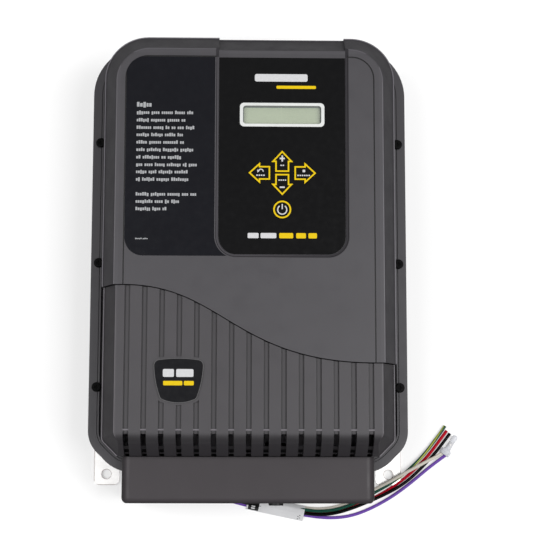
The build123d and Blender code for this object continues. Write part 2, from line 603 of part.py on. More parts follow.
# ---- face ----
def notice_label():
    """Printed film on the left of the face, shaped by the groove and by the channel."""
    left, right = -102.5, -20.0
    top, bottom = 173.1, 5.6
    width, height = right - left + 40, top - bottom
    film = Pos(left + width / 2, bottom + height / 2, FACE_Z) * RectangleRounded(width, height, 15.0)
    film = extrude(film, amount=0.2)
    wall = CHANNEL_DEPTH * tan(radians(-CHANNEL_WALL_TAPER)) + 0.5
    grown = RectangleRounded(CHANNEL_RIGHT - CHANNEL_LEFT + 2 * wall, CHANNEL_RUN, CHANNEL_R + wall)
    film -= extrude(Pos(CHANNEL_MIDDLE, CHANNEL_BOTTOM - wall + CHANNEL_RUN / 2, FACE_Z - 1) * grown, amount=3)
    film -= box_between((-16.0, 0, FACE_Z - 1), (90, 200, FACE_Z + 2))
    return film


def keypad_overlay():
    """Glossy film keypad on the channel floor, cut out for the keys and the display."""
    gap = 0.3
    place = Pos(CHANNEL_MIDDLE, CHANNEL_BOTTOM + gap + CHANNEL_RUN / 2, CHANNEL_FLOOR_Z)
    sheet = RectangleRounded(CHANNEL_RIGHT - CHANNEL_LEFT - 2 * gap, CHANNEL_RUN, CHANNEL_R - gap)
    film = extrude(place * sheet, amount=OVERLAY_THICK)
    film -= box_between((-60, OVERLAY_TOP, 100), (120, 400, 130))
    for outline in KEYS.values():
        film -= extrude(Pos(0, 0, 110) * outline(KEY_GAP), amount=20)
    bezel = Pos(DISPLAY_X, DISPLAY_Y, 110) * RectangleRounded(BEZEL_SIZE[0] + 0.2, BEZEL_SIZE[1] + 0.2, 3.6)
    return film - extrude(bezel, amount=20)


def display_bezel():
    """White frame round the display."""
    outer = Pos(DISPLAY_X, DISPLAY_Y, CHANNEL_FLOOR_Z) * RectangleRounded(*BEZEL_SIZE, 3.5)
    inner = Pos(DISPLAY_X, DISPLAY_Y, CHANNEL_FLOOR_Z - 1) * RectangleRounded(*WINDOW_SIZE, 2.4)
    return extrude(outer, amount=1.4) - extrude(inner, amount=4)


def display_window():
    """Clear lens in the housing's display opening."""
    lens = Pos(DISPLAY_X, DISPLAY_Y, CHANNEL_FLOOR_Z - 1.6)
    return extrude(lens * RectangleRounded(WINDOW_SIZE[0] + 0.8, WINDOW_SIZE[1] + 0.8, 2.7), amount=1.6)


def display_module():
    """Two-line display: board, metal-framed glass and pin header."""
    board = Pos(DISPLAY_X, DISPLAY_Y, 102.8) * Box(80, 36, BOARD_THICK)
    glass = Pos(DISPLAY_X, DISPLAY_Y, 107.7) * Box(71, 26, 8.2)
    header = Pos(DISPLAY_X, DISPLAY_Y + 15, 100.8) * Box(41, 2.5, 2.4)
    return board + glass + header


def ui_board():
    """Board behind the face that carries the display and the switches."""
    board = box_between((-19, 18, UI_BOARD_Z), (73, 148, UI_BOARD_Z + BOARD_THICK))
    for x, y in UI_POSTS:
        board -= post(x, y, UI_BOARD_Z - 1, UI_BOARD_Z + 3, 1.7)
    return board


def ui_screws():
    """Four screws that hold the face board to its posts."""
    return group(pan_screw(x, y, UI_BOARD_Z, 9.0, head_r=3.0, shank_r=1.4, up=-1) for x, y in UI_POSTS)


def tactile_switches():
    """A switch with a long plunger under each key."""
    switches = []
    for x, y in ((KEY_X, 85.0), (KEY_X, 65.4), (7.0, 75.2), (47.0, 75.2), (KEY_X, POWER_KEY_Y)):
        base_z = UI_BOARD_Z + BOARD_THICK
        body = Pos(x, y, base_z + 2.1) * Box(12, 12, 4.2)
        switches.append(body + post(x, y, base_z + 4.2, KEY_TOP_Z - 5.4, 3.4))
    return group(switches)


def key(outline):
    """A key: its plate through the face, and the lip that keeps it in."""
    floor_z = CHANNEL_FLOOR_Z - WALL
    plate = extrude(Pos(0, 0, floor_z - 0.7) * outline(0), amount=KEY_TOP_Z - floor_z + 0.7)
    lip = extrude(Pos(0, 0, floor_z - 0.7) * outline(KEY_LIP), amount=0.6)
    return plate + lip


# ---- electronics ----
def transformer():
    """Toroidal transformer with its wrapped winding."""
    x, y = TRANSFORMER_XY
    body = post(x, y, 13.5, 61.5, 56.0) - post(x, y, 13, 62, 18.0)
    rims = body.edges().filter_by(GeomType.CIRCLE)
    return fillet(rims, 9.0)


def transformer_pads():
    """Rubber rings under and over the transformer."""
    x, y = TRANSFORMER_XY
    return group(post(x, y, z, z + 1.5, 50.0) - post(x, y, z - 1, z + 3, 10.0) for z in (12.0, 61.5))


def transformer_washer():
    """Dished clamping washer over the transformer's hole."""
    x, y = TRANSFORMER_XY
    disc = post(x, y, 63.0, 65.0, 34.0)
    dish = Pos(x, y, 65.0) * Cone(30.0, 14.0, 3.0, align=UPWARD)
    return disc + dish - post(x, y, 60, 70, 4.3)


def transformer_bolt():
    """Hexagon bolt through the washer into the housing's post."""
    x, y = TRANSFORMER_XY
    head = extrude(Pos(x, y, 68.0) * RegularPolygon(7.5, 6), amount=5.3)
    return head + post(x, y, 14.0, 68.0, 3.95)


def board_corners():
    """Places of the power board's screws."""
    (low_x, low_y), (high_x, high_y) = BOARD_BOX
    return [(x, y) for x in (low_x + 6, high_x - 6) for y in (low_y + 6, high_y - 6)]


def power_board():
    """Main circuit board."""
    (low_x, low_y), (high_x, high_y) = BOARD_BOX
    board = box_between((low_x, low_y, BOARD_Z), (high_x, high_y, BOARD_Z + BOARD_THICK))
    for x, y in board_corners():
        board -= post(x, y, BOARD_Z - 1, BOARD_Z + 3, 1.7)
    return board


def board_standoffs():
    """Threaded spacers between the tub and the power board."""
    return group(post(x, y, FLOOR_Z, BOARD_Z, 3.5) - post(x, y, FLOOR_Z + 2, BOARD_Z + 1, 1.5)
                 for x, y in board_corners())


def board_screws():
    """Screws of the power board."""
    seat_z = BOARD_Z + BOARD_THICK
    return group(pan_screw(x, y, seat_z, 8.0, head_r=3.2, shank_r=1.4) for x, y in board_corners())


def heat_sink():
    """Finned aluminium heat sink on the power board's edge."""
    base_z = BOARD_Z + BOARD_THICK
    sink = box_between((84, -45, base_z), (88, 85, base_z + 42))
    fins = [box_between((88, -45, base_z + 2 + 6.2 * i), (110, 85, base_z + 4 + 6.2 * i)) for i in range(7)]
    return sink + fins


def power_transistors():
    """Flat power transistors clamped to the heat sink."""
    base_z = BOARD_Z + BOARD_THICK
    return group(box_between((79.4, y - 5, base_z + 4), (84, y + 5, base_z + 20)) for y in (-25, 5, 35, 65))


def relays():
    """Polarity and pump relays."""
    base_z = BOARD_Z + BOARD_THICK
    boxes = [box_between((x, 112, base_z), (x + 19, 141, base_z + 25)) for x in (28, 52, 76)]
    return group(fillet(b.edges().filter_by(Axis.Z), 1.2) for b in boxes)


def capacitors():
    """Smoothing capacitors."""
    base_z = BOARD_Z + BOARD_THICK
    cans = [post(38, y, base_z, base_z + 40, 12.5) for y in (86, 56, 26)]
    return group(fillet(can.edges().filter_by(GeomType.CIRCLE), 1.2) for can in cans)


def bridge_rectifier():
    """Square bridge rectifier with a chamfered corner."""
    base_z = BOARD_Z + BOARD_THICK
    body = box_between((26, -22, base_z + 3), (54, 6, base_z + 12))
    corner = body.edges().filter_by(Axis.Z)[0]
    legs = [box_between((26 + dx, -22 + dy, base_z), (27.5 + dx, -20.5 + dy, base_z + 3))
            for dx in (4, 22) for dy in (4, 22)]
    return chamfer(corner, 4.0) + legs


def fuse_holder():
    """Two-clip holder of the main fuse."""
    base_z = BOARD_Z + BOARD_THICK
    holder = box_between((28, -58, base_z), (68, -46, base_z + 4))
    for x in (31, 59):
        holder += box_between((x, -57, base_z + 4), (x + 6, -55.4, base_z + 12))
        holder += box_between((x, -48.6, base_z + 4), (x + 6, -47, base_z + 12))
    return holder


def fuse():
    """Glass cartridge fuse in its clips."""
    middle = Plane(origin=(32, -52, BOARD_Z + BOARD_THICK + 8), x_dir=(0, 1, 0), z_dir=(1, 0, 0))
    return middle * Cylinder(3.2, 32.0, align=UPWARD)


def ribbon_cable():
    """Flat cable from the face board down to the power board."""
    half_width = 12.5
    low = BOARD_Z + BOARD_THICK
    profile = [(16, 96.2), (16, 97.4), (1.6, 97.4), (-9.0, 86), (-9.0, low + 1.2), (-14, low + 1.2),
               (-14, low), (-7.8, low), (-7.8, 85.5), (2.2, 96.2)]
    sketch = make_face(Polyline(*profile, close=True))
    side_plane = Plane(origin=(68 - half_width, 0, 0), x_dir=(0, 1, 0), z_dir=(1, 0, 0))
    plug = box_between((55.5, 9, 95.0), (80.5, 17.9, 96.2))
    return extrude(side_plane * sketch, amount=2 * half_width) + plug


def partition():
    """Insulating wall between the electronics and the wiring compartment."""
    half = TUB_HALF - WALL - 0.2
    return box_between((-half, PARTITION_Y, FLOOR_Z), (half, PARTITION_Y + 2.5, FRONT_FLANGE_Z - 0.1))


# ---- wiring compartment ----
def pole_places():
    """Middles of the terminal block's poles."""
    pitch = 13.0
    return [TERMINAL_XY[0] + pitch * (i - (TERMINAL_POLES - 1) / 2) for i in range(TERMINAL_POLES)]


def terminal_block():
    """Barrier terminal block."""
    x, y = TERMINAL_XY
    half = 41.0
    block = box_between((x - half, y - 11, FLOOR_Z), (x + half, y + 11, FLOOR_Z + 9))
    for i in range(TERMINAL_POLES + 1):
        wall_x = pole_places()[0] - 6.5 + 13.0 * i
        block += box_between((wall_x - 1, y - 11, FLOOR_Z + 9), (wall_x + 1, y + 11, FLOOR_Z + 18))
    return block


def terminal_screws():
    """Two clamp screws on each pole."""
    y = TERMINAL_XY[1]
    return group(pan_screw(x, y + dy, FLOOR_Z + 11.0, 2.0, head_r=3.4, shank_r=1.6)
                 for x in pole_places() for dy in (-5.5, 5.5))


def ground_bar():
    """Brass bar on two feet for the earth wires."""
    x, y = GROUND_XY
    bar = box_between((x - 26, y - 5, FLOOR_Z + 7), (x + 26, y + 5, FLOOR_Z + 15))
    for foot_x in (x - 20, x + 20):
        bar += box_between((foot_x - 4, y - 5, FLOOR_Z), (foot_x + 4, y + 5, FLOOR_Z + 7))
    for i in range(5):
        bar -= pin_y(x - 18 + 9 * i, FLOOR_Z + 10, y + 6, y - 6, 1.9)
        bar -= post(x - 18 + 9 * i, y, FLOOR_Z + 10, FLOOR_Z + 16, 1.55)
    return bar


def ground_screws():
    """Clamp screws of the ground bar."""
    x, y = GROUND_XY
    return group(pan_screw(x - 18 + 9 * i, y, FLOOR_Z + 15, 4.0, head_r=3.0, shank_r=1.5) for i in range(5))


def wire_bushing():
    """Sealed bushing that the five loose wires come out of."""
    body = pin_y(BUSHING_X, BUSHING_Z, TUB_BOTTOM + WALL + 3, TUB_BOTTOM, 7.4)
    collar = pin_y(BUSHING_X, BUSHING_Z, TUB_BOTTOM, BUSHING_FACE_Y, 9.5, 8.0)
    latch = pin_y(BUSHING_X, BUSHING_Z, TUB_BOTTOM + WALL + 3, TUB_BOTTOM + WALL, 7.4, 8.4)
    return body + collar + latch


def outlet_gland():
    """Cable gland for the cell's cable, with a tapered tip and an empty bore."""
    wall_y = TUB_BOTTOM
    gland = pin_y(GLAND_X, GLAND_Z, wall_y + 14, wall_y, 9.8)
    gland += hex_y(GLAND_X, GLAND_Z, wall_y, wall_y - 6, 13.5)
    gland += pin_y(GLAND_X, GLAND_Z, wall_y - 6, wall_y - 20, 11.5)
    gland += pin_y(GLAND_X, GLAND_Z, wall_y - 20, GLAND_TIP_Y, 9.4, 6.2)
    return gland - pin_y(GLAND_X, GLAND_Z, wall_y + 15, GLAND_TIP_Y - 1, 4.0)


def gland_locknut():
    """Nut of the gland, inside the tub."""
    inside = TUB_BOTTOM + WALL
    nut = hex_y(GLAND_X, GLAND_Z, inside + 5, inside, 14.5)
    return nut - pin_y(GLAND_X, GLAND_Z, inside + 6, inside - 1, 9.85)


def conduit_plug():
    """Push-in plug of the spare conduit hole."""
    cap = pin_y(PLUG_X, CONDUIT_Z, TUB_BOTTOM, TUB_BOTTOM - 2.4, 13.5, 12.5)
    return cap + pin_y(PLUG_X, CONDUIT_Z, TUB_BOTTOM + WALL + 3, TUB_BOTTOM, 11.0)


# ---- loose wires ----
def bend_radii(route):
    """Arc radius at each inner point: 0.45 of the shorter run over the tangent of half the turn."""
    radii = []
    for before, here, after in zip(route, route[1:], route[2:]):
        run_in = Vector(*here) - Vector(*before)
        run_out = Vector(*after) - Vector(*here)
        half_turn = radians(run_in.get_angle(run_out)) / 2
        radii.append(0.45 * min(run_in.length, run_out.length) / tan(half_turn))
    return radii


def wire(name):
    """One loose wire: straight runs joined by tangent arcs."""
    route = WIRE_ROUTES[name]
    radii = bend_radii(route)
    path = FilletPolyline(*route, radius=radii)
    section = Plane(origin=path @ 0, z_dir=path % 0) * Circle(WIRE_D / 2)
    tube = sweep(section, path=path)
    expected = pi * (WIRE_D / 2) ** 2 * path.length
    ratio = tube.volume / expected
    print(f"{name}: length {path.length:.1f}, least radius {min(radii):.1f}, volume ratio {ratio:.4f}")
    return tube


def label_sleeve():
    """Printed film wrapped loosely round the five wires."""
    dx, dy = SLEEVE_END[0] - SLEEVE_START[0], SLEEVE_END[1] - SLEEVE_START[1]
    height = SLEEVE_Z[1] - SLEEVE_Z[0]
    middle_z = (SLEEVE_Z[1] + SLEEVE_Z[0]) / 2
    plane = Plane(origin=(*SLEEVE_START, middle_z), x_dir=(dy, -dx, 0), z_dir=(dx, dy, 0))
    outer = plane * RectangleRounded(SLEEVE_WIDTH, height, 1.95)
    inner = plane * RectangleRounded(SLEEVE_WIDTH - 2 * SLEEVE_WALL, height - 2 * SLEEVE_WALL, 1.6)
    return extrude(outer - inner, amount=hypot(dx, dy))


def crimp_connector():
    """Closed-end crimp connector over the ends of the white and the violet wire."""
    heading = (cos(radians(CRIMP_HEADING)), sin(radians(CRIMP_HEADING)), 0)
    mouth_plane = Plane(origin=CRIMP_MOUTH, x_dir=(heading[1], -heading[0], 0), z_dir=heading)
    mouth = extrude(mouth_plane * RectangleRounded(*CRIMP_MOUTH_SIZE, 3.0), amount=CRIMP_MOUTH_LENGTH)
    barrel = Cylinder(CRIMP_BARREL_R, CRIMP_BARREL_LENGTH, align=UPWARD)
    barrel = fillet(barrel.edges().sort_by(Axis.Z)[-1], CRIMP_BARREL_R - 0.2)
    return mouth + mouth_plane.offset(CRIMP_MOUTH_LENGTH) * barrel


NODES = {
    "wall_bracket": wall_bracket, "bracket_screws": bracket_screws, "rear_housing": rear_housing,
    "housing_gasket": housing_gasket, "front_housing": front_housing, "cover_screws": cover_screws,
    "access_cover": access_cover, "badge": badge, "bottom_hood": bottom_hood, "hood_screws": hood_screws,
    "notice_label": notice_label, "keypad_overlay": keypad_overlay, "display_bezel": display_bezel,
    "display_window": display_window, "display_module": display_module, "ui_board": ui_board,
    "ui_screws": ui_screws, "tactile_switches": tactile_switches, "transformer": transformer,
    "transformer_pads": transformer_pads, "transformer_washer": transformer_washer,
    "transformer_bolt": transformer_bolt, "power_board": power_board, "board_standoffs": board_standoffs,
    "board_screws": board_screws, "heat_sink": heat_sink, "power_transistors": power_transistors,
    "relays": relays, "capacitors": capacitors, "bridge_rectifier": bridge_rectifier,
    "fuse_holder": fuse_holder, "fuse": fuse, "ribbon_cable": ribbon_cable, "partition": partition,
    "terminal_block": terminal_block, "terminal_screws": terminal_screws, "ground_bar": ground_bar,
    "ground_screws": ground_screws, "wire_bushing": wire_bushing, "outlet_gland": outlet_gland,
    "gland_locknut": gland_locknut, "conduit_plug": conduit_plug, "label_sleeve": label_sleeve,
    "crimp_connector": crimp_connector,
}

os.makedirs("parts", exist_ok=True)
for name, build in NODES.items():
    export_step(build(), f"parts/{name}.step")
for name, outline in KEYS.items():
    export_step(key(outline), f"parts/{name}.step")
for name in WIRE_ROUTES:
    export_step(wire(name), f"parts/{name}.step")
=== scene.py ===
"""Looks of a salt chlorine generator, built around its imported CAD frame.

Lengths are millimetres in this file and become metres where a mesh is made.
"""
import math
import random

import bmesh
import bpy
from mathutils import Matrix, Vector


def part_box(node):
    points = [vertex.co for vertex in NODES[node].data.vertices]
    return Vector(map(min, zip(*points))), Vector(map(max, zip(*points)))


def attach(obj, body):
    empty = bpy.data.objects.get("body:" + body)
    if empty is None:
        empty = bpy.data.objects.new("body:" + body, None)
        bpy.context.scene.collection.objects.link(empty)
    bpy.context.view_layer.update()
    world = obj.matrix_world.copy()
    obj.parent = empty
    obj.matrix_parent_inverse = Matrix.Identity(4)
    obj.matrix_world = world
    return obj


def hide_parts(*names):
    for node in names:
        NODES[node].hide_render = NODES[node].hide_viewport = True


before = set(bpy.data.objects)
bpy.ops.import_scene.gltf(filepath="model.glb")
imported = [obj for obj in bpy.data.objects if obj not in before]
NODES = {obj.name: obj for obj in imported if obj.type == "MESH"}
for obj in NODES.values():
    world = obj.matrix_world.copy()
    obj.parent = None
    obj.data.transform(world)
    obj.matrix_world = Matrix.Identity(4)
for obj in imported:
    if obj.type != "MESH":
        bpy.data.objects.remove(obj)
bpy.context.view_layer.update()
MM = 0.001
HOUSING = "housing"
COVER = "cover"

# heights that the CAD gives, millimetres
LABEL_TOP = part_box("notice_label")[1][2] / MM
FACE_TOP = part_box("notice_label")[0][2] / MM
OVERLAY_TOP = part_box("keypad_overlay")[1][2] / MM
KEY_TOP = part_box("key_up")[1][2] / MM
BADGE_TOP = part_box("badge")[1][2] / MM
GLASS_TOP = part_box("display_module")[1][2] / MM
INK = 0.05
BADGE_ROUND = 5.0
RIB_PITCH = 14.2


# ---- camera and lights: metres, radians and watts ----
CAMERA_PLACE = (-0.00825, -0.15628, 1.268)
CAMERA_TILT = 0.132465
CAMERA_ROLL = -0.019190
CAMERA_SPIN = 0.004718
CAMERA_LENS = 95.78
WORLD_STRENGTH = 0.3
LIT_POINT = (0.0, 0.0, 0.05)
# place, width and power of each light
SOFTBOXES = {
    "softbox_left": ((-1.25, -0.2, 2.2), 1.4, 32.0),
    "softbox_right": ((1.25, -0.2, 2.2), 1.4, 48.5),
    "softbox_back": ((0.0, 1.6, 1.2), 1.2, 3.0),
}


def add_camera():
    """The photograph's view: nearly straight down on the face, from a little below its middle."""
    data = bpy.data.cameras.new("camera")
    data.sensor_width = 36.0
    data.lens = CAMERA_LENS
    data.clip_start = 0.05
    data.clip_end = 30.0
    camera = bpy.data.objects.new("camera", data)
    bpy.context.scene.collection.objects.link(camera)
    tilt = Matrix.Rotation(CAMERA_TILT, 4, "X")
    turn = tilt @ Matrix.Rotation(CAMERA_ROLL, 4, "Y") @ Matrix.Rotation(CAMERA_SPIN, 4, "Z")
    camera.matrix_world = Matrix.Translation(CAMERA_PLACE) @ turn
    bpy.context.scene.camera = camera


def add_softbox(name, place, size, power):
    """A square area light that faces the unit."""
    data = bpy.data.lights.new(name, "AREA")
    data.shape = "SQUARE"
    data.size = size
    data.energy = power
    lamp = bpy.data.objects.new(name, data)
    bpy.context.scene.collection.objects.link(lamp)
    lamp.location = place
    lamp.rotation_euler = (Vector(LIT_POINT) - Vector(place)).to_track_quat("-Z", "Y").to_euler()


def add_world():
    """Even white surroundings."""
    world = bpy.data.worlds.new("studio")
    bpy.context.scene.world = world
    world.use_nodes = True
    background = world.node_tree.nodes["Background"]
    background.inputs["Color"].default_value = (1.0, 1.0, 1.0, 1.0)
    background.inputs["Strength"].default_value = WORLD_STRENGTH


# ---- meshes ----
def new_piece(name, verts, faces, body, *materials, smooth=False):
    """A mesh piece from millimetre points that rides on a body."""
    mesh = bpy.data.meshes.new(name)
    mesh.from_pydata([[c * MM for c in v] for v in verts], [], faces)
    for material in materials:
        mesh.materials.append(material)
    mesh.polygons.foreach_set("use_smooth", [smooth] * len(mesh.polygons))
    shape = bmesh.new()
    shape.from_mesh(mesh)
    bmesh.ops.recalc_face_normals(shape, faces=shape.faces)
    shape.to_mesh(mesh)
    shape.free()
    piece = bpy.data.objects.new(name, mesh)
    bpy.context.scene.collection.objects.link(piece)
    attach(piece, body)
    return piece


def prisms(outlines, low, high):
    """Points and faces of one upright prism on each anticlockwise outline."""
    verts, faces = [], []
    for outline in outlines:
        first, count = len(verts), len(outline)
        verts += [(x, y, low) for x, y in outline] + [(x, y, high) for x, y in outline]
        faces.append([first + i for i in reversed(range(count))])
        faces.append([first + count + i for i in range(count)])
        for i in range(count):
            j = (i + 1) % count
            faces.append([first + i, first + j, first + count + j, first + count + i])
    return verts, faces


def band(outer, inner, low, high):
    """Points and faces of a flat frame between two anticlockwise outlines with as many points."""
    count = len(outer)
    verts = [(x, y, z) for z in (low, high) for loop in (outer, inner) for x, y in loop]
    low_out, low_in, high_out, high_in = (k * count for k in range(4))
    faces = []
    for i in range(count):
        j = (i + 1) % count
        faces += [[high_out + i, high_out + j, high_in + j, high_in + i],
                  [low_out + j, low_out + i, low_in + i, low_in + j],
                  [low_out + i, low_out + j, high_out + j, high_out + i],
                  [low_in + j, low_in + i, high_in + i, high_in + j]]
    return verts, faces


def merged(*shapes):
    """Several (points, faces) pairs as one."""
    verts, faces = [], []
    for more_verts, more_faces in shapes:
        first = len(verts)
        verts += more_verts
        faces += [[first + i for i in face] for face in more_faces]
    return verts, faces


def inset(outline, distance):
    """An anticlockwise outline moved inwards by distance, its corners kept sharp."""
    moved = []
    count = len(outline)
    for i, here in enumerate(outline):
        here = Vector(here)
        run_in = (here - Vector(outline[i - 1])).normalized()
        run_out = (Vector(outline[(i + 1) % count]) - here).normalized()
        normal_in = Vector((-run_in.y, run_in.x))
        normal_out = Vector((-run_out.y, run_out.x))
        move = (normal_in + normal_out) * (distance / (1 + normal_in.dot(normal_out)))
        moved.append(tuple(here + move))
    return moved


def circle(x, y, radius, count=48):
    return [(x + radius * math.cos(2 * math.pi * i / count), y + radius * math.sin(2 * math.pi * i / count))
            for i in range(count)]


def rounded(x, y, width, height, radius, steps=6):
    """An anticlockwise rectangle with rounded corners round the middle (x, y)."""
    points = []
    for corner, (sx, sy) in enumerate(((1, 1), (-1, 1), (-1, -1), (1, -1))):
        centre_x, centre_y = x + sx * (width / 2 - radius), y + sy * (height / 2 - radius)
        for i in range(steps + 1):
            angle = math.radians(90 * corner + 90 * i / steps)
            points.append((centre_x + radius * math.cos(angle), centre_y + radius * math.sin(angle)))
    return points


def turned(outline, x, y, degrees):
    """An outline turned about the origin and moved to (x, y)."""
    c, s = math.cos(math.radians(degrees)), math.sin(math.radians(degrees))
    return [(x + c * u - s * v, y + s * u + c * v) for u, v in outline]


# ---- procedural materials ----
class Shade:
    """A Principled material with helpers for its procedural nodes, in object coordinates."""

    def __init__(self, name):
        self.material = bpy.data.materials.new(name)
        self.material.use_nodes = True
        self.tree = self.material.node_tree
        self.bsdf = next(n for n in self.tree.nodes if n.type == "BSDF_PRINCIPLED")
        self.place = self.tree.nodes.new("ShaderNodeTexCoord").outputs["Object"]

    def link(self, source, target):
        self.tree.links.new(source, target)

    def set(self, **values):
        for name, value in values.items():
            self.bsdf.inputs[name.replace("_", " ")].default_value = value
        return self

    def scaled(self, scale):
        """Object coordinates times one number or three."""
        mapping = self.tree.nodes.new("ShaderNodeMapping")
        mapping.inputs["Scale"].default_value = scale if hasattr(scale, "__len__") else (scale, scale, scale)
        self.link(self.place, mapping.inputs["Vector"])
        return mapping.outputs["Vector"]

    def noise(self, scale, detail=3.0, roughness=0.55):
        node = self.tree.nodes.new("ShaderNodeTexNoise")
        self.link(self.scaled(scale), node.inputs["Vector"])
        node.inputs["Scale"].default_value = 1.0
        node.inputs["Detail"].default_value = detail
        node.inputs["Roughness"].default_value = roughness
        return node.outputs["Fac"]

    def voronoi(self, scale):
        node = self.tree.nodes.new("ShaderNodeTexVoronoi")
        self.link(self.scaled(scale), node.inputs["Vector"])
        node.inputs["Scale"].default_value = 1.0
        return node.outputs["Distance"]

    def wave(self, scale, direction="X"):
        node = self.tree.nodes.new("ShaderNodeTexWave")
        node.bands_direction = direction
        self.link(self.scaled(scale), node.inputs["Vector"])
        node.inputs["Scale"].default_value = 1.0
        return node.outputs["Fac"]

    def ramp(self, factor, *stops):
        """Colour ramp from (position, colour) stops."""
        node = self.tree.nodes.new("ShaderNodeValToRGB")
        elements = node.color_ramp.elements
        while len(elements) < len(stops):
            elements.new(0.5)
        for element, (position, colour) in zip(elements, stops):
            element.position = position
            element.color = (*colour, 1.0)
        self.link(factor, node.inputs["Fac"])
        return node.outputs["Color"]

    def remap(self, factor, low, high, from_low=0.0, from_high=1.0):
        """factor moved from its own range to low and high, and kept between them."""
        node = self.tree.nodes.new("ShaderNodeMapRange")
        values = {"From Min": from_low, "From Max": from_high, "To Min": low, "To Max": high}
        for name, value in values.items():
            node.inputs[name].default_value = value
        self.link(factor, node.inputs["Value"])
        return node.outputs["Result"]

    def mix(self, factor, first, second):
        """first and second are colours or sockets."""
        node = self.tree.nodes.new("ShaderNodeMix")
        node.data_type = "RGBA"
        sockets = [s for s in node.inputs if s.type == "RGBA"]
        for socket, value in zip(sockets, (first, second)):
            if hasattr(value, "is_output"):
                self.link(value, socket)
            else:
                socket.default_value = (*value, 1.0)
        if hasattr(factor, "is_output"):
            self.link(factor, node.inputs["Factor"])
        else:
            node.inputs["Factor"].default_value = factor
        return next(s for s in node.outputs if s.type == "RGBA")

    def axis(self, name, source=None):
        """One object coordinate in metres, or one part of another vector."""
        node = self.tree.nodes.new("ShaderNodeSeparateXYZ")
        self.link(source or self.place, node.inputs["Vector"])
        return node.outputs[name]

    def upright(self):
        """The height of a surface's normal: 1 where it faces the front."""
        return self.axis("Z", self.tree.nodes.new("ShaderNodeTexCoord").outputs["Normal"])

    def facing(self):
        """How far a surface faces the front, from 0 at its drafted sides to 1 on its face."""
        return self.remap(self.upright(), 0.0, 1.0, 0.62, 0.95)

    def rise(self, coordinate, start, end):
        """0 up to start and 1 from end onwards, in millimetres; end may be the lower one."""
        if end < start:
            return self.remap(coordinate, 1.0, 0.0, end * MM, start * MM)
        return self.remap(coordinate, 0.0, 1.0, start * MM, end * MM)

    def within(self, value, low, high, soft):
        """1 where a value is between low and high."""
        above = self.remap(value, 0.0, 1.0, low - soft, low + soft)
        below = self.remap(value, 1.0, 0.0, high - soft, high + soft)
        return self.both(above, below)

    def along(self, name, ends, soft=0.1):
        """1 where an object coordinate is between two ends, in millimetres."""
        return self.within(self.axis(name), ends[0] * MM, ends[1] * MM, soft * MM)

    def maths(self, operation, first, second=0.0):
        node = self.tree.nodes.new("ShaderNodeMath")
        node.operation = operation
        for socket, value in zip(node.inputs, (first, second)):
            if hasattr(value, "is_output"):
                self.link(value, socket)
            else:
                socket.default_value = value
        return node.outputs["Value"]

    def both(self, first, second):
        return self.maths("MULTIPLY", first, second)

    def either(self, first, second):
        return self.maths("MAXIMUM", first, second)

    def colour(self, socket):
        self.link(socket, self.bsdf.inputs["Base Color"])
        return self

    def rough(self, socket):
        self.link(socket, self.bsdf.inputs["Roughness"])
        return self

    def mottled(self, scale, low, high, detail=3.0, ends=(0.0, 1.0)):
        """A roughness that drifts between low and high."""
        return self.rough(self.remap(self.noise(scale, detail), low, high, *ends))

    def bump(self, *layers, edge=0.0):
        """Height layers as (socket, depth in millimetres), over edges rounded by edge millimetres."""
        normal = None
        if edge:
            bevel = self.tree.nodes.new("ShaderNodeBevel")
            bevel.samples = 6
            bevel.inputs["Radius"].default_value = edge * MM
            normal = bevel.outputs["Normal"]
        for socket, depth in layers:
            node = self.tree.nodes.new("ShaderNodeBump")
            node.inputs["Strength"].default_value = 1.0
            node.inputs["Distance"].default_value = depth * MM
            self.link(socket, node.inputs["Height"])
            if normal is not None:
                self.link(normal, node.inputs["Normal"])
            normal = node.outputs["Normal"]
        self.link(normal, self.bsdf.inputs["Normal"])
        return self


def times(base, share):
    """A colour made lighter or darker."""
    return [c * share for c in base]


def varied(shade, base, spread, scale=30.0, detail=4.0):
    """A colour that drifts by spread either side of base."""
    stops = (MIDDLE[0], times(base, 1 - spread)), (MIDDLE[1], times(base, 1 + spread))
    return shade.ramp(shade.noise(scale, detail), *stops)


# where painted highlights, painted shade and painted light lie on the mouldings, millimetres
MIDDLE = (0.3, 0.7)
EDGE_SIDE = (107.3, 107.6)
EDGE_TOP = (176.5, 176.8)
LEDGE_HEIGHT = (96.0, 98.6)
RIM_HEIGHT = (115.4, 118.1)
RIM_SIDES = (-30.0, 83.8)
RIM_ENDS = (2.0, 173.5)
WELL_FLOOR = (10.5, 11.5)
UNDER_SLOTS = (-160.0, -136.0)
GROOVE_SIDES = (-105.5, 105.5)
GROOVE_TOP = (175.7, 175.5)
LIP_ENDS = (-136.7, -135.1)
LIP_SHARE = 0.16
SUNK_HEIGHT = (114.0, 116.5)
FOOT_SHARES = (0.105, 0.170)
BEND = (-137.5, -149.0)
SHELF_HEIGHT = (86.3, 86.9)


def moulded_plastic(name, base, roughness=0.42, grain=1500.0, depth=0.018, edge=0.45, detail=None, sheen=0.4,
                    lifted=None):
    """Dark moulded plastic: spark-eroded grain, faint flow marks, drafted sides duller and painted darker as
    painted shade.
    """
    shade = Shade(name)
    drift = varied(shade, base, 0.05, 22.0)
    grains = shade.noise(grain, 2.0, 0.6)
    speckled = shade.mix(shade.remap(grains, 0.0, 0.35, 0.35, 0.8), drift, times(base, 1.25))
    if detail:
        speckled = detail(shade, speckled, base)
    facing = shade.facing()
    if lifted:
        facing = shade.either(facing, lifted(shade))
    # painted shade: the colour darkens as a surface turns away from the front, except where lifted keeps it
    # out
    shade.colour(shade.mix(facing, times(base, 0.63), speckled))
    shade.link(shade.remap(facing, 0.03, sheen), shade.bsdf.inputs["Specular IOR Level"])
    shade.mottled(60.0, roughness - 0.05, roughness + 0.07, ends=MIDDLE)
    shade.bump((shade.noise(9.0, 2.0), 0.12), (grains, depth), edge=edge)
    return shade


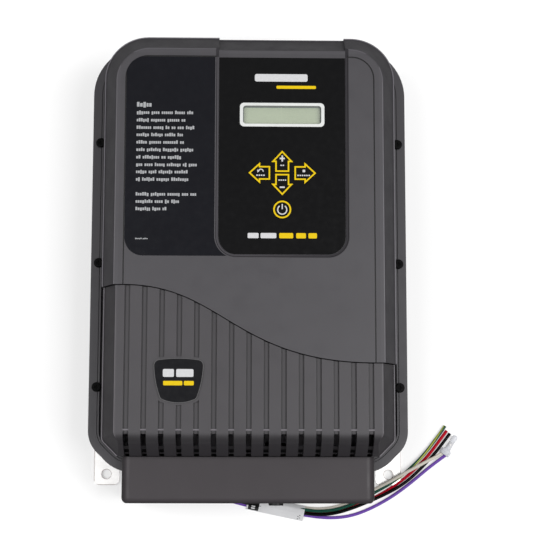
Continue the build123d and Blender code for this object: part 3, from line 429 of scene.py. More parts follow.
def painted_edge_highlights(shade, colour, base):
    """The crisp outer edge of the face and the narrow ledge at the chamfer's foot, painted lighter as painted
    highlights.
    """
    upright = shade.upright()
    side = shade.rise(shade.maths("ABSOLUTE", shade.axis("X")), *EDGE_SIDE)
    outside = shade.either(side, shade.rise(shade.axis("Y"), *EDGE_TOP))
    edge = shade.both(shade.within(upright, 0.86, 0.985, 0.02), outside)
    ledge = shade.both(shade.along("Z", LEDGE_HEIGHT), shade.remap(upright, 0.0, 1.0, 0.9, 0.97))
    # painted highlights on the crisp edge and on the ledge
    return shade.mix(shade.either(shade.both(edge, 0.5), ledge), colour, times(base, 2.8))


def channel_rim(shade):
    """A mask of the slanted wall round the sunken keypad, stronger on its left: it keeps the wall out of the
    painted shade and carries painted light there.
    """
    wall = shade.both(shade.within(shade.upright(), 0.55, 0.85, 0.02), shade.along("Z", RIM_HEIGHT))
    inside = shade.both(shade.along("X", RIM_SIDES), shade.along("Y", RIM_ENDS))
    return shade.both(shade.both(wall, inside), shade.remap(shade.axis("X"), 1.0, 0.55, 0.0, 0.07))


def painted_well_light(shade, colour, base):
    """The floor of the well under the cover's slots painted lighter: painted light where little light
    reaches.
    """
    # painted light on the well's floor under the slots
    under = shade.both(shade.along("Z", WELL_FLOOR), shade.along("Y", UNDER_SLOTS))
    return shade.mix(under, colour, times(base, 8.0))


def face_detail(shade, colour, base):
    """Painted shade in the fine groove round the face, where light hardly reaches, and painted light on the
    keypad's rim.
    """
    # painted shade on the floor of the fine groove round the face
    floor = shade.along("Z", (FACE_TOP - 1.0, FACE_TOP - 0.5), 0.05)
    below_top = shade.rise(shade.axis("Y"), *GROOVE_TOP)
    groove_shade = shade.both(floor, shade.both(shade.along("X", GROOVE_SIDES), below_top))
    # painted light on the keypad's slanted rim
    colour = shade.mix(channel_rim(shade), colour, times(base, 1.7))
    return painted_edge_highlights(shade, shade.mix(groove_shade, colour, times(base, 0.08)), base)


def cover_detail(shade, colour, base):
    """Painted shade in the cover's grooves, along their walls and over its lower bend, painted light on the
    shelf under the slots, and painted highlights on the lips where the grooves end.
    """
    column = shade.maths("ADD", shade.maths("DIVIDE", shade.axis("X"), RIB_PITCH * MM), 0.5)
    column = shade.maths("FRACT", column)
    off_middle = shade.maths("ABSOLUTE", shade.maths("SUBTRACT", column, 0.5))
    sunk = shade.along("Z", SUNK_HEIGHT)
    foot = shade.both(sunk, shade.within(off_middle, *FOOT_SHARES, 0.015))
    # painted shade in the sunken grooves
    colour = shade.mix(shade.both(sunk, 0.2), colour, times(base, 0.4))
    # painted shade along the groove walls
    colour = shade.mix(shade.both(foot, 0.6), colour, times(base, 0.25))
    # painted shade over the lower bend
    colour = shade.mix(shade.rise(shade.axis("Y"), *BEND), colour, times(base, 0.12))
    # painted light on the shelf under the slots
    colour = shade.mix(shade.along("Z", SHELF_HEIGHT), colour, times(base, 3.5))
    # painted highlights on the lips where the grooves end
    strip = shade.within(column, 0.5 - LIP_SHARE, 0.5 + LIP_SHARE, 0.02)
    lip = shade.both(shade.along("Y", LIP_ENDS, 0.2), strip)
    return painted_edge_highlights(shade, shade.mix(lip, colour, times(base, 2.8)), base)


def ink(name, base):
    """Screen-printed ink: nearly even, with a faint mottle."""
    shade = Shade(name).set(Specular_IOR_Level=0.15)
    shade.colour(varied(shade, base, 0.04, 600.0, 2.0))
    shade.mottled(900.0, 0.38, 0.5)
    shade.bump((shade.noise(2500.0, 2.0), 0.004))
    return shade


def metal(name, base, roughness, grain=(40.0, 2200.0, 2200.0), depth=0.004, metallic=1.0, edge=0.0):
    """Metal with a fine directional grain."""
    shade = Shade(name).set(Metallic=metallic)
    lines = shade.noise(grain, 3.0, 0.6)
    shade.colour(shade.mix(shade.remap(lines, 0.0, 0.5, 0.3, 0.8), base, times(base, 0.86)))
    shade.mottled(90.0, roughness - 0.05, roughness + 0.08, 4.0, MIDDLE)
    shade.bump((lines, depth), edge=edge)
    return shade


def pvc(name, base, roughness=0.3, sheen=0.25):
    """Extruded wire insulation: glossy, with a faint orange-peel surface."""
    shade = Shade(name).set(Specular_IOR_Level=sheen)
    shade.colour(varied(shade, base, 0.08, 120.0, 3.0))
    shade.mottled(300.0, roughness - 0.05, roughness + 0.08, ends=MIDDLE)
    shade.bump((shade.noise(450.0, 2.0), 0.03))
    return shade


# ---- loose wires ----
WIRE_RADIUS = 1.4
GREEN_TWIST = math.radians(500.0)
GREEN_STRIPE = (19, 0, 1)
MATT_WIRES = ("wire_black", "wire_red")
# a cut end: share of the radius and depth of the insulation's step, then the depth of the copper's middle
CUT_END = ((0.6, 0.0), (0.58, 0.12))
CORE_DEPTH = 0.02
# points chosen along the photograph's wires
WIRE_ROUTES = {
    "wire_white": [
        (-30.9, -165.0, 18.7), (-30.9, -172.0, 18.7), (-29.6, -179.0, 14.2), (-25.6, -184.9, 8.4),
        (-18.5, -187.4, 4.5), (-9.4, -189.4, 2.5), (0.6, -192.1, 1.9), (16.0, -195.2, 2.0),
        (33.0, -198.7, 1.9), (50.6, -202.2, 2.0), (64.0, -203.3, 1.9), (78.0, -201.4, 2.0),
        (92.0, -196.2, 3.1), (104.0, -189.9, 4.5), (114.0, -184.5, 6.1), (125.0, -179.0, 7.4),
        (137.0, -172.1, 7.9), (149.0, -166.0, 7.4), (158.5, -160.9, 6.4), (166.3, -157.4, 5.0),
        (172.6, -153.6, 3.8)],
    "wire_green": [
        (-32.4, -165.0, 21.3), (-32.4, -173.0, 21.3), (-30.7, -181.0, 16.6), (-25.8, -187.1, 10.7),
        (-18.4, -189.5, 6.9), (-9.4, -191.5, 5.0), (0.4, -194.1, 4.5), (16.0, -196.9, 4.4),
        (33.0, -200.4, 4.5), (50.3, -203.8, 4.5), (64.0, -205.2, 4.5), (78.0, -203.6, 4.6),
        (92.0, -199.1, 4.4), (104.0, -192.9, 4.3), (114.0, -187.4, 4.3), (126.0, -180.8, 4.6),
        (138.7, -171.6, 4.6), (149.0, -162.6, 3.5), (158.5, -152.6, 2.3), (166.8, -141.9, 1.6),
        (172.2, -134.9, 1.5), (175.5, -130.0, 1.5)],
    "wire_black": [
        (-35.6, -165.0, 21.3), (-35.6, -173.4, 21.3), (-33.8, -182.3, 16.6), (-28.2, -189.8, 10.7),
        (-19.7, -193.0, 6.9), (-10.2, -195.4, 5.0), (-0.2, -198.1, 4.5), (16.0, -200.6, 4.4),
        (33.0, -203.8, 4.5), (49.7, -206.7, 4.5), (63.0, -208.1, 4.4), (76.5, -206.9, 4.4),
        (90.0, -203.0, 4.4), (102.0, -198.4, 4.3), (112.5, -194.0, 4.4), (124.0, -188.8, 4.4),
        (134.6, -182.9, 4.1), (143.6, -176.4, 3.4), (152.2, -168.6, 2.2), (160.2, -160.6, 1.5),
        (168.0, -151.8, 1.6), (174.6, -143.3, 1.5), (179.7, -136.6, 1.5)],
    "wire_red": [
        (-34.0, -165.0, 18.7), (-34.0, -172.4, 18.7), (-32.8, -180.4, 14.2), (-27.9, -187.6, 8.4),
        (-19.8, -191.0, 4.5), (-10.1, -193.4, 2.5), (0.0, -196.1, 1.9), (16.0, -199.2, 2.0),
        (33.0, -202.2, 1.9), (50.0, -205.1, 1.9), (63.0, -206.3, 1.6), (76.5, -204.9, 1.5),
        (90.0, -202.2, 1.6), (102.0, -198.0, 1.5), (113.2, -192.6, 1.6), (123.0, -187.0, 1.5),
        (132.1, -181.2, 1.6), (141.0, -174.6, 1.6), (149.0, -167.2, 1.6), (156.6, -159.9, 1.6),
        (163.4, -152.0, 1.6), (170.5, -142.6, 1.6), (176.9, -134.2, 1.6)],
    "wire_violet": [
        (-37.1, -165.0, 18.7), (-37.1, -172.8, 18.7), (-35.9, -181.8, 14.2), (-30.3, -190.3, 8.4),
        (-21.2, -194.5, 4.5), (-10.9, -197.3, 2.5), (-0.6, -200.0, 1.9), (16.0, -202.8, 2.0),
        (33.0, -205.3, 1.9), (49.4, -208.2, 1.9), (63.0, -210.2, 1.6), (77.0, -210.8, 1.5),
        (91.0, -209.0, 1.6), (104.5, -204.4, 1.5), (117.5, -198.0, 1.6), (129.0, -191.2, 1.5),
        (139.5, -183.7, 1.6), (148.8, -176.4, 1.5), (157.4, -169.2, 1.6), (165.0, -163.3, 2.2),
        (171.0, -158.8, 3.0), (175.6, -155.5, 3.5)],
}


def smooth_line(route):
    """Points in millimetres along the NURBS line whose control points are the route."""
    curve = bpy.data.curves.new("route", "CURVE")
    curve.dimensions = "3D"
    spline = curve.splines.new("NURBS")
    spline.points.add(len(route) - 1)
    for point, place in zip(spline.points, route):
        point.co = (*(c * MM for c in place), 1.0)
    spline.order_u = 3
    spline.use_endpoint_u = True
    spline.resolution_u = 6
    holder = bpy.data.objects.new("route", curve)
    mesh = bpy.data.meshes.new_from_object(holder)
    line = [v.co / MM for v in mesh.vertices]
    bpy.data.objects.remove(holder)
    bpy.data.curves.remove(curve)
    bpy.data.meshes.remove(mesh)
    return line


def directions(line):
    """Unit direction at each point of a line."""
    ways = []
    for i in range(len(line)):
        ways.append((line[min(i + 1, len(line) - 1)] - line[max(i - 1, 0)]).normalized())
    return ways


def wire_mesh(line, radius, sides=20, stripe_faces=(), twist=0.0):
    """Points, faces and material indices of an insulated wire: 0 insulation, 1 stripe, 2 copper core."""
    verts, faces, kinds = [], [], []
    ways = directions(line)
    for i, (place, way) in enumerate(zip(line, ways)):
        side = way.cross(Vector((0, 0, 1))).normalized()
        up = side.cross(way)
        for k in range(sides):
            angle = 2 * math.pi * k / sides + twist * i / len(line)
            verts.append(place + radius * (math.cos(angle) * side + math.sin(angle) * up))
    for i in range(len(line) - 1):
        for k in range(sides):
            a, b = i * sides + k, i * sides + (k + 1) % sides
            faces.append([a, b, b + sides, a + sides])
            kinds.append(1 if k in stripe_faces else 0)
    for end, step, way in ((0, 1, -ways[0]), (len(line) - 1, -1, ways[-1])):
        centre = line[end]
        rim = verts[end * sides:(end + 1) * sides]
        rings = [[end * sides + k for k in range(sides)]]
        for share, depth in CUT_END:
            rings.append([len(verts) + k for k in range(sides)])
            verts += [centre + (point - centre) * share - way * depth for point in rim]
        rings.append([len(verts)])
        verts.append(centre - way * CORE_DEPTH)
        for outer, inner, kind in ((rings[0], rings[1], 0), (rings[1], rings[2], 0), (rings[2], rings[3], 2)):
            for k in range(sides):
                j = (k + 1) % sides
                face = [outer[j], outer[k], inner[k % len(inner)]] + ([inner[j]] if len(inner) > 1 else [])
                faces.append(face if step == 1 else face[::-1])
                kinds.append(kind)
    return verts, faces, kinds


def add_wires():
    """The five wires, white and violet into the crimp connector, the others cut off flush."""
    copper = metal("copper_strands", (0.75, 0.36, 0.2), 0.35, (1500.0, 1500.0, 1500.0), 0.02)
    stripe = pvc("pvc_yellow_stripe", (0.32, 0.36, 0.03))
    colours = {"wire_white": (0.52, 0.49, 0.43), "wire_green": (0.003, 0.055, 0.035),
               "wire_black": (0.002, 0.002, 0.002), "wire_red": (0.4, 0.0005, 0.012),
               "wire_violet": (0.13, 0.055, 0.33)}
    pieces = {}
    for name, route in WIRE_ROUTES.items():
        line = smooth_line(route)
        stripes, twist = (GREEN_STRIPE, GREEN_TWIST) if name == "wire_green" else ((), 0.0)
        verts, faces, kinds = wire_mesh(line, WIRE_RADIUS, stripe_faces=stripes, twist=twist)
        insulation = pvc(name + "_pvc", colours[name], sheen=0.07 if name in MATT_WIRES else 0.2)
        piece = new_piece(name + "_lead", verts, faces, HOUSING, insulation.material, stripe.material,
                          copper.material, smooth=True)
        piece.data.polygons.foreach_set("material_index", kinds)
        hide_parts(name)
        pieces[name] = (piece, line)
    return pieces


# ---- label sleeve and crimp connector ----
SLEEVE_START = Vector((-0.2, -196.6))
SLEEVE_END = Vector((49.6, -207.0))
SLEEVE_FILM = 0.2
SLEEVE_INK = 0.05
SLEEVE_TOP = 6.3


def sleeve_frame():
    """Unit vectors along the sleeve and across it, towards the unit's top."""
    along = (SLEEVE_END - SLEEVE_START).normalized()
    return along, Vector((-along.y, along.x))


def sleeve_profile(share):
    """The film's outside, as (across, height) round the five wires, at a share of its length."""
    slack = 0.18 * math.sin(9.0 * share) + 0.1 * math.sin(23.0 * share + 1.0)
    top = [(6.75, 1.2), (6.7, 2.6), (6.1, 3.9), (5.0, 4.7 + 0.6 * slack), (4.0, 5.7), (3.0, 6.22),
           (1.9, 6.12 + 0.3 * slack), (0.8, 5.95 + 0.4 * slack), (-0.4, 6.18), (-1.6, 5.6),
           (-2.8, 4.7 + slack), (-4.0, 3.9 + slack), (-5.0, 2.4 + 0.8 * slack), (-5.8, 1.35 + 0.3 * slack),
           (-6.5, 0.95), (-6.8, 0.62)]
    bottom = [(-6.8, 0.3), (-6.4, 0.13), (-4.0, 0.12), (0.0, 0.12), (4.0, 0.12), (6.0, 0.13), (6.6, 0.45)]
    return top, bottom


def sleeve_patch(start, end, low, high, lift=0.0):
    """A thin strip of print that follows the film's top between two shares of its length."""
    along, across = sleeve_frame()
    length = (SLEEVE_END - SLEEVE_START).length
    places = sorted({low, high} | {u for u, _ in sleeve_profile(0.0)[0] if low < u < high})
    columns, rows = 6, len(places) - 1
    outer, inner = [], []
    for c in range(columns + 1):
        share = start + (end - start) * c / columns
        outline = sleeve_profile(share)[0]
        for u in places:
            z = height_at(outline, u)
            base = SLEEVE_START + along * (length * share) + across * u
            outer.append((*base, min(z + SLEEVE_INK + lift, SLEEVE_TOP)))
            inner.append((*base, z - SLEEVE_INK + lift))
    faces, count = [], len(outer)
    for c in range(columns):
        for r in range(rows):
            a = c * (rows + 1) + r
            b = a + rows + 1
            faces.append([a, b, b + 1, a + 1])
            faces.append([count + a + 1, count + b + 1, count + b, count + a])
    edge = [c * (rows + 1) for c in range(columns + 1)]
    edge += [columns * (rows + 1) + r for r in range(1, rows + 1)]
    edge += [c * (rows + 1) + rows for c in reversed(range(columns))]
    edge += list(reversed(range(1, rows)))
    for i, a in enumerate(edge):
        b = edge[(i + 1) % len(edge)]
        faces.append([b, a, count + a, count + b])
    return outer + inner, faces


def add_sleeve(film, black):
    """White film wrapped loosely round the wires, with a black band and generic print."""
    along, across = sleeve_frame()
    length = (SLEEVE_END - SLEEVE_START).length
    steps = 36
    verts, faces = [], []
    for layer in (0.0, SLEEVE_FILM):
        for i in range(steps + 1):
            top, bottom = sleeve_profile(i / steps)
            outline = inset(top + bottom, layer) if layer else top + bottom
            base = SLEEVE_START + along * (length * i / steps)
            verts += [(*(base + across * u), z) for u, z in outline]
    count = len(outline)
    first_inner = (steps + 1) * count
    for i in range(steps):
        for k in range(count):
            j = (k + 1) % count
            face = [i * count + k, i * count + j, (i + 1) * count + j, (i + 1) * count + k]
            faces += [face, [first_inner + v for v in reversed(face)]]
    for row in (0, steps):
        for k in range(count):
            a, b = row * count + k, row * count + (k + 1) % count
            face = [b, a, first_inner + a, first_inner + b]
            faces.append(face[::-1] if row else face)
    piece = new_piece("label_sleeve_film", verts, faces, HOUSING, film.material, smooth=True)
    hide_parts("label_sleeve")

    prints = [sleeve_patch(0.03, 0.215, -6.2, 6.0)]
    for i in range(4):
        start, low = 0.90 + 0.028 * (i % 2), -6.0 + 1.1 * i
        prints.append(sleeve_patch(start, start + 0.018, low, low + 0.7))
    band_piece = print_piece("label_sleeve_print", merged(*prints), HOUSING, black)
    marks = [sleeve_patch(0.085, 0.15, -5.2, -3.9, 0.04), sleeve_patch(0.085, 0.15, -3.2, -1.6, 0.04)]
    mark_piece = print_piece("label_sleeve_marks", merged(*marks), HOUSING, film)
    return [piece, band_piece, mark_piece]


def height_at(outline, u):
    """Height of a profile's top at a place across it."""
    for (u0, z0), (u1, z1) in zip(outline, outline[1:]):
        if u1 <= u <= u0:
            return z0 if u0 == u1 else z0 + (z1 - z0) * (u - u0) / (u1 - u0)
    return outline[0][1] if u > outline[0][0] else outline[-1][1]


CRIMP_MOUTH = Vector((173.6, -155.3, 3.5))
CRIMP_HEADING = 56.3
# rings of the connector: distance from its mouth, half width, half height
CRIMP_OUTSIDE = [(0.0, 4.6, 3.0), (0.25, 4.85, 3.25), (4.3, 4.8, 3.2), (4.9, 4.55, 3.0), (5.2, 3.0, 2.8),
                 (6.6, 2.66, 2.62), (9.0, 2.6, 2.5), (11.5, 2.3, 1.9), (13.5, 2.3, 1.9), (15.5, 2.6, 2.45),
                 (17.6, 2.62, 2.6), (18.9, 2.3, 2.3), (19.7, 1.6, 1.6), (20.1, 0.7, 0.7)]
CRIMP_INSIDE = [(14.0, 1.3, 1.1), (10.0, 1.6, 1.4), (6.6, 1.9, 1.8), (5.0, 3.6, 2.3), (0.8, 3.9, 2.5),
                (0.05, 4.1, 2.6)]
CRIMP_TIPS = (20.18, 14.2)
# distance and radius of the metal sleeve's four edges
CRIMP_FERRULE = ((8.0, 1.75), (8.0, 1.95), (13.0, 1.75), (13.0, 1.5))


def add_connector(nylon, sleeve_metal):
    """Closed-end crimp connector: an oval collar, a tapering neck and a barrel that is closed at its tip."""
    heading = math.radians(CRIMP_HEADING)
    along = Vector((math.cos(heading), math.sin(heading), 0))
    side = Vector((along.y, -along.x, 0))
    up = Vector((0, 0, 1))
    sides = 32
    turns = [2 * math.pi * k / sides for k in range(sides)]

    def join(first, second, faces):
        for k in range(sides):
            j = (k + 1) % sides
            faces.append([first * sides + k, first * sides + j, second * sides + j, second * sides + k])

    verts, faces = [], []
    rings = CRIMP_OUTSIDE + CRIMP_INSIDE
    for distance, half_width, half_height in rings:
        centre = CRIMP_MOUTH + along * distance
        for angle in turns:
            c, s = math.cos(angle), math.sin(angle)
            bulge = (abs(c) ** 2.6 + abs(s) ** 2.6) ** (-1 / 2.6)
            verts.append(tuple(centre + side * (half_width * c * bulge) + up * (half_height * s * bulge)))
    tip_out, tip_in = len(verts), len(verts) + 1
    verts += [tuple(CRIMP_MOUTH + along * distance) for distance in CRIMP_TIPS]
    last_out, first_in, last_in = len(CRIMP_OUTSIDE) - 1, len(CRIMP_OUTSIDE), len(rings) - 1
    for ring in (*range(last_out), *range(first_in, last_in)):
        join(ring + 1, ring, faces)
    join(0, last_in, faces)
    for k in range(sides):
        j = (k + 1) % sides
        faces.append([last_out * sides + k, tip_out, last_out * sides + j])
        faces.append([first_in * sides + j, tip_in, first_in * sides + k])
    piece = new_piece("crimp_connector_body", verts, faces, HOUSING, nylon.material, smooth=True)
    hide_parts("crimp_connector")

    verts, faces = [], []
    for distance, radius in CRIMP_FERRULE:
        centre = CRIMP_MOUTH + along * distance
        for angle in turns:
            across, rise = radius * math.cos(angle), 0.8 * radius * math.sin(angle)
            verts.append(tuple(centre + side * across + up * rise))
    for a, b in ((1, 0), (2, 1), (3, 2), (0, 3)):
        join(a, b, faces)
    core = new_piece("crimp_connector_ferrule", verts, faces, HOUSING, sleeve_metal.material, smooth=True)
    return [piece, core]


# ---- print on the face ----
def word(x, y, height, letters, rng, pitch):
    """Blocks that stand for one printed word, from x rightwards on the line y; also where it ends."""
    blocks = []
    for _ in range(letters):
        width = pitch * rng.choice((0.62, 0.72, 0.78))
        rise = height * rng.choice((1.0, 1.0, 1.0, 1.32))
        drop = height * rng.choice((0.0, 0.0, 0.0, 0.0, 0.25))
        blocks.append([(x, y - drop), (x + width, y - drop), (x + width, y + rise), (x, y + rise)])
        x += width + pitch * 0.2
    return blocks, x


def greeked_lines(lines, left, height, pitch, rng):
    """Blocks for lines of text given as (y, right end)."""
    blocks = []
    for y, right in lines:
        x = left
        while right - x > 2.4 * pitch:
            letters = min(rng.choice((2, 3, 4, 5, 6, 7, 8)), max(2, int((right - x) / (0.92 * pitch))))
            more, x = word(x, y - height / 2, height, letters, rng, pitch)
            blocks += more
            x += pitch * 0.75
    return blocks


def print_piece(name, shape, body, shade):
    piece = new_piece(name, *shape, body, shade.material)
    return piece


def add_notice(film, white):
    """The notice film, a hair thinner than its node so that its print stays in the box."""
    mesh = NODES["notice_label"].data.copy()
    mesh.name = "notice_film"
    top = LABEL_TOP * MM
    for vertex in mesh.vertices:
        if abs(vertex.co.z - top) < 1e-5:
            vertex.co.z = top - INK * MM
    mesh.materials.clear()
    mesh.materials.append(film.material)
    piece = bpy.data.objects.new("notice_film", mesh)
    bpy.context.scene.collection.objects.link(piece)
    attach(piece, HOUSING)
    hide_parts("notice_label")
    rng = random.Random(11)
    body_lines = [(125.1, -46.4), (118.7, -49.7), (112.4, -43.8), (106.3, -50.4), (100.0, -52.8),
                  (93.7, -41.2), (87.4, -51.0), (81.1, -41.5), (75.1, -50.9), (68.8, -48.4),
                  (56.4, -42.5), (50.3, -57.2), (44.2, -62.9)]
    low, high = LABEL_TOP - INK - 0.02, LABEL_TOP
    heading = greeked_lines([(131.7, -76.3)], -93.7, 3.0, 2.7, rng)
    body = greeked_lines(body_lines, -93.7, 2.1, 1.95, rng)
    tiny = greeked_lines([(19.5, -81.5)], -93.7, 0.8, 0.9, rng)
    print_piece("notice_print", prisms(heading + body + tiny, low, high), HOUSING, white)


def arrow_outline(direction):
    """The house-shaped arrow of a key round its own tip, anticlockwise."""
    head_length, half_head, half_stem, length = 10.0, 9.3, 5.9, 18.2
    points = [(0, 0), (-head_length, half_head), (-head_length, half_stem), (-length, half_stem),
              (-length, -half_stem), (-head_length, -half_stem), (-head_length, -half_head)]
    return turned(points, 0, 0, direction)


def moved(outline, x, y):
    return [(u + x, v + y) for u, v in outline]


def rectangle(x, y, width, height):
    return [(x - width / 2, y - height / 2), (x + width / 2, y - height / 2),
            (x + width / 2, y + height / 2), (x - width / 2, y + height / 2)]


def arc_band(x, y, radius, width, start, end, low, high, steps=40):
    """Points and faces of one bent strip along an arc."""
    outer, inner = [], []
    for i in range(steps + 1):
        angle = math.radians(start + (end - start) * i / steps)
        outer.append((x + (radius + width / 2) * math.cos(angle), y + (radius + width / 2) * math.sin(angle)))
        inner.append((x + (radius - width / 2) * math.cos(angle), y + (radius - width / 2) * math.sin(angle)))
    outline = outer + inner[::-1]
    count = len(outline)
    verts = [(*p, low) for p in outline] + [(*p, high) for p in outline]
    faces = []
    for i in range(steps):
        a, b, c, d = i, i + 1, count - 2 - i, count - 1 - i
        faces.append([count + a, count + b, count + c, count + d])
        faces.append([d, c, b, a])
    for i in range(count):
        j = (i + 1) % count
        faces.append([i, j, count + j, count + i])
    return verts, faces


KEY_X = 26.9
ARROWS = {"key_up": (KEY_X, 94.2, 90), "key_down": (KEY_X, 56.3, -90),
          "key_back": (-1.2, 75.2, 180), "key_select": (55.1, 75.2, 0)}
OUTLINE_WIDTH = 1.25
POWER_Y = 44.6


def add_key_print(yellow, white):
    """Yellow outlines and small white signs on the five keys; each rides on its key."""
    low, high = KEY_TOP - 0.02, KEY_TOP + INK
    for name, (x, y, direction) in ARROWS.items():
        outline = moved(inset(arrow_outline(direction), 0.1), x, y)
        shape = band(outline, inset(outline, OUTLINE_WIDTH), low, high)
        print_piece(name + "_outline", shape, name + "_cap", yellow)
    outer, inner = circle(KEY_X, POWER_Y, 7.4, 64), circle(KEY_X, POWER_Y, 6.1, 64)
    print_piece("key_power_outline", band(outer, inner, low, high), "key_power_cap", yellow)

    plus = merged(prisms([rectangle(KEY_X, 87.4, 4.2, 1.3)], low, high),
                  prisms([rectangle(KEY_X, 89.0, 1.3, 1.9), rectangle(KEY_X, 85.8, 1.3, 1.9)], low, high))
    up_bar = prisms([rectangle(KEY_X + side, 81.6, 1.3, 1.0) for side in (-0.9, 0.9)], low, high)
    print_piece("key_up_sign", merged(plus, up_bar), "key_up_cap", white)
    small = [rectangle(KEY_X + 1.75 * i, 69.2, 1.2, 1.0) for i in (-1.5, -0.5, 0.5, 1.5)]
    small.append(rectangle(KEY_X, 63.2, 4.2, 1.25))
    print_piece("key_down_sign", prisms(small, low, high), "key_down_cap", white)
    bars = [rectangle(8.9 + 1.9 * i, 73.2, 1.3, 1.1) for i in (-1.5, -0.5, 0.5, 1.5)]
    hook = arc_band(9.2, 76.4, 1.9, 0.8, -5, 150, low, high)
    tip = [(6.1, 77.9), (8.6, 77.4), (6.5, 75.4)]
    print_piece("key_back_sign", merged(prisms(bars + [tip[::-1]], low, high), hook), "key_back_cap", white)
    bars = [rectangle(44.6 + 1.85 * i, 73.2, 1.25, 1.1) for i in (-2.5, -1.5, -0.5, 0.5, 1.5, 2.5)]
    bars.append(rectangle(44.8, 77.0, 2.1, 2.1))
    print_piece("key_select_sign", prisms(bars, low, high), "key_select_cap", white)
    ring = arc_band(KEY_X, POWER_Y - 0.2, 3.75, 0.95, 125, 415, low, high)
    stem = prisms([rectangle(KEY_X, POWER_Y + 2.4, 0.95, 4.4)], low, high)
    print_piece("key_power_sign", merged(ring, stem), "key_power_cap", white)


def add_overlay_marks(white, yellow):
    """Generic marks where the keypad carries names: plain bars."""
    low, high = OVERLAY_TOP - 0.02, OVERLAY_TOP + INK
    wide_mark = prisms([rounded(26.0, 156.0, 44.0, 6.4, 1.6)], low, high)
    slim_mark = prisms([rounded(38.5, 148.0, 33.0, 2.6, 1.0)], low, high)
    print_piece("overlay_mark_white", wide_mark, HOUSING, white)
    print_piece("overlay_mark_yellow", slim_mark, HOUSING, yellow)
    foot_white = [rounded(3.0, 22.8, 9.0, 4.4, 0.9), rounded(15.6, 22.8, 13.0, 4.4, 0.9)]
    foot_yellow = [rounded(x, 22.8, width, 4.4, 0.9) for x, width in ((30.2, 11.5), (42.4, 8.0), (52.0, 7.0))]
    print_piece("overlay_foot_white", prisms(foot_white, low, high), HOUSING, white)
    print_piece("overlay_foot_yellow", prisms(foot_yellow, low, high), HOUSING, yellow)


def circle_through(a, b, c):
    """Centre and radius of the circle through three points."""
    a, b, c = Vector(a), Vector(b), Vector(c)
    turn = 2 * ((b - a).x * (c - a).y - (b - a).y * (c - a).x)
    ab, ac = (b - a).length_squared, (c - a).length_squared
    centre = a + Vector(((c - a).y * ab - (b - a).y * ac, (b - a).x * ac - (c - a).x * ab)) / turn
    return centre, (a - centre).length


def meeting(first, second, near):
    """The point where two circles cross, on the side of a given point."""
    (p, r), (q, s) = first, second
    span = (q - p).length
    along = (r * r - s * s + span * span) / (2 * span)
    off = math.sqrt(r * r - along * along)
    unit = (q - p) / span
    both = [p + unit * along + Vector((-unit.y, unit.x)) * side * off for side in (-1, 1)]
    return min(both, key=lambda point: (point - near).length)


def arc_points(centre, radius, first, last, steps):
    """Points anticlockwise along an arc, from the direction of first up to that of last."""
    begin = math.atan2(first.y, first.x)
    sweep = (math.atan2(last.y, last.x) - begin) % (2 * math.pi)
    angles = [begin + sweep * k / steps for k in range(steps)]
    return [tuple(centre + radius * Vector((math.cos(a), math.sin(a)))) for a in angles]


def badge_outline(steps=8):
    """The badge's shield, anticlockwise: four arcs and four rounded corners."""
    corners = [Vector(p) for p in ((-36.6, -80.0), (-77.4, -80.0), (-71.8, -111.2), (-42.2, -111.2))]
    middles = [(-57.0, -78.1), (-75.7, -98.0), (-57.0, -114.7), (-38.3, -98.0)]
    arcs = [circle_through(corners[i], middles[i], corners[(i + 1) % 4]) for i in range(4)]
    ends = []
    for i, corner in enumerate(corners):
        before, after = arcs[i - 1], arcs[i]
        ends.append(meeting((before[0], before[1] - BADGE_ROUND), (after[0], after[1] - BADGE_ROUND), corner))
    points = []
    for i, (centre, radius) in enumerate(arcs):
        start, stop = ends[i], ends[(i + 1) % 4]
        points += arc_points(start, BADGE_ROUND, start - arcs[i - 1][0], start - centre, steps)
        points += arc_points(centre, radius, start - centre, stop - centre, steps)
    return points


def add_badge_print(white, yellow, rim):
    """A light rim and a generic mark on the badge."""
    low, high = BADGE_TOP - 0.02, BADGE_TOP + INK
    outer = inset(badge_outline(), 0.05)
    print_piece("badge_rim", band(outer, inset(outer, 0.55), low, high), COVER, rim)
    white_bars = [rounded(-65.2, -90.3, 9.0, 6.4, 1.1), rounded(-51.9, -90.3, 14.0, 6.4, 1.1)]
    yellow_bars = [rounded(-61.6, -98.5, 15.5, 3.6, 0.8), rounded(-48.6, -98.5, 8.0, 3.6, 0.8)]
    print_piece("badge_mark_white", prisms(white_bars, low, high), COVER, white)
    print_piece("badge_mark_yellow", prisms(yellow_bars, low, high), COVER, yellow)


def add_display(glass, black):
    """The liquid-crystal glass in its black frame."""
    low, high = GLASS_TOP - 0.02, GLASS_TOP + 0.25
    window = prisms([rounded(26.8, 124.4, 63.4, 13.8, 1.0)], low, high)
    print_piece("display_glass", window, HOUSING, glass)
    outer, inner = rounded(26.8, 124.4, 69.6, 21.0, 1.2), rounded(26.8, 124.4, 64.0, 14.4, 1.2)
    print_piece("display_frame", band(outer, inner, low, high + 0.35), HOUSING, black)


# ---- materials of the CAD nodes ----
def paint(shade, *names):
    """Gives CAD nodes a material."""
    for name in names:
        node = NODES[name]
        if not node.material_slots:
            node.data.materials.append(shade.material)
        for slot in node.material_slots:
            slot.material = shade.material


TAPE_TURNS = 44
# millimetres between two conductors of the ribbon, and across and along one cell of the display
RIBBON_PITCH = 1.27
CELL_PITCH = (3.8, 6.6)
# the bracket's outer edges and ear holes, metres
SHEET_SIDE = (0.1346, 0.1349)
SHEET_FOOT = (-0.1818, -0.1815)
EAR_HOLE = (0.1245, -0.1729)
EAR_RING = (0.0045, 0.0048)


def waves_per_metre(pitch):
    """The scale at which a wave node, which has a built-in factor of 20, repeats every pitch millimetres."""
    return 2 * math.pi / pitch / MM / 20.0


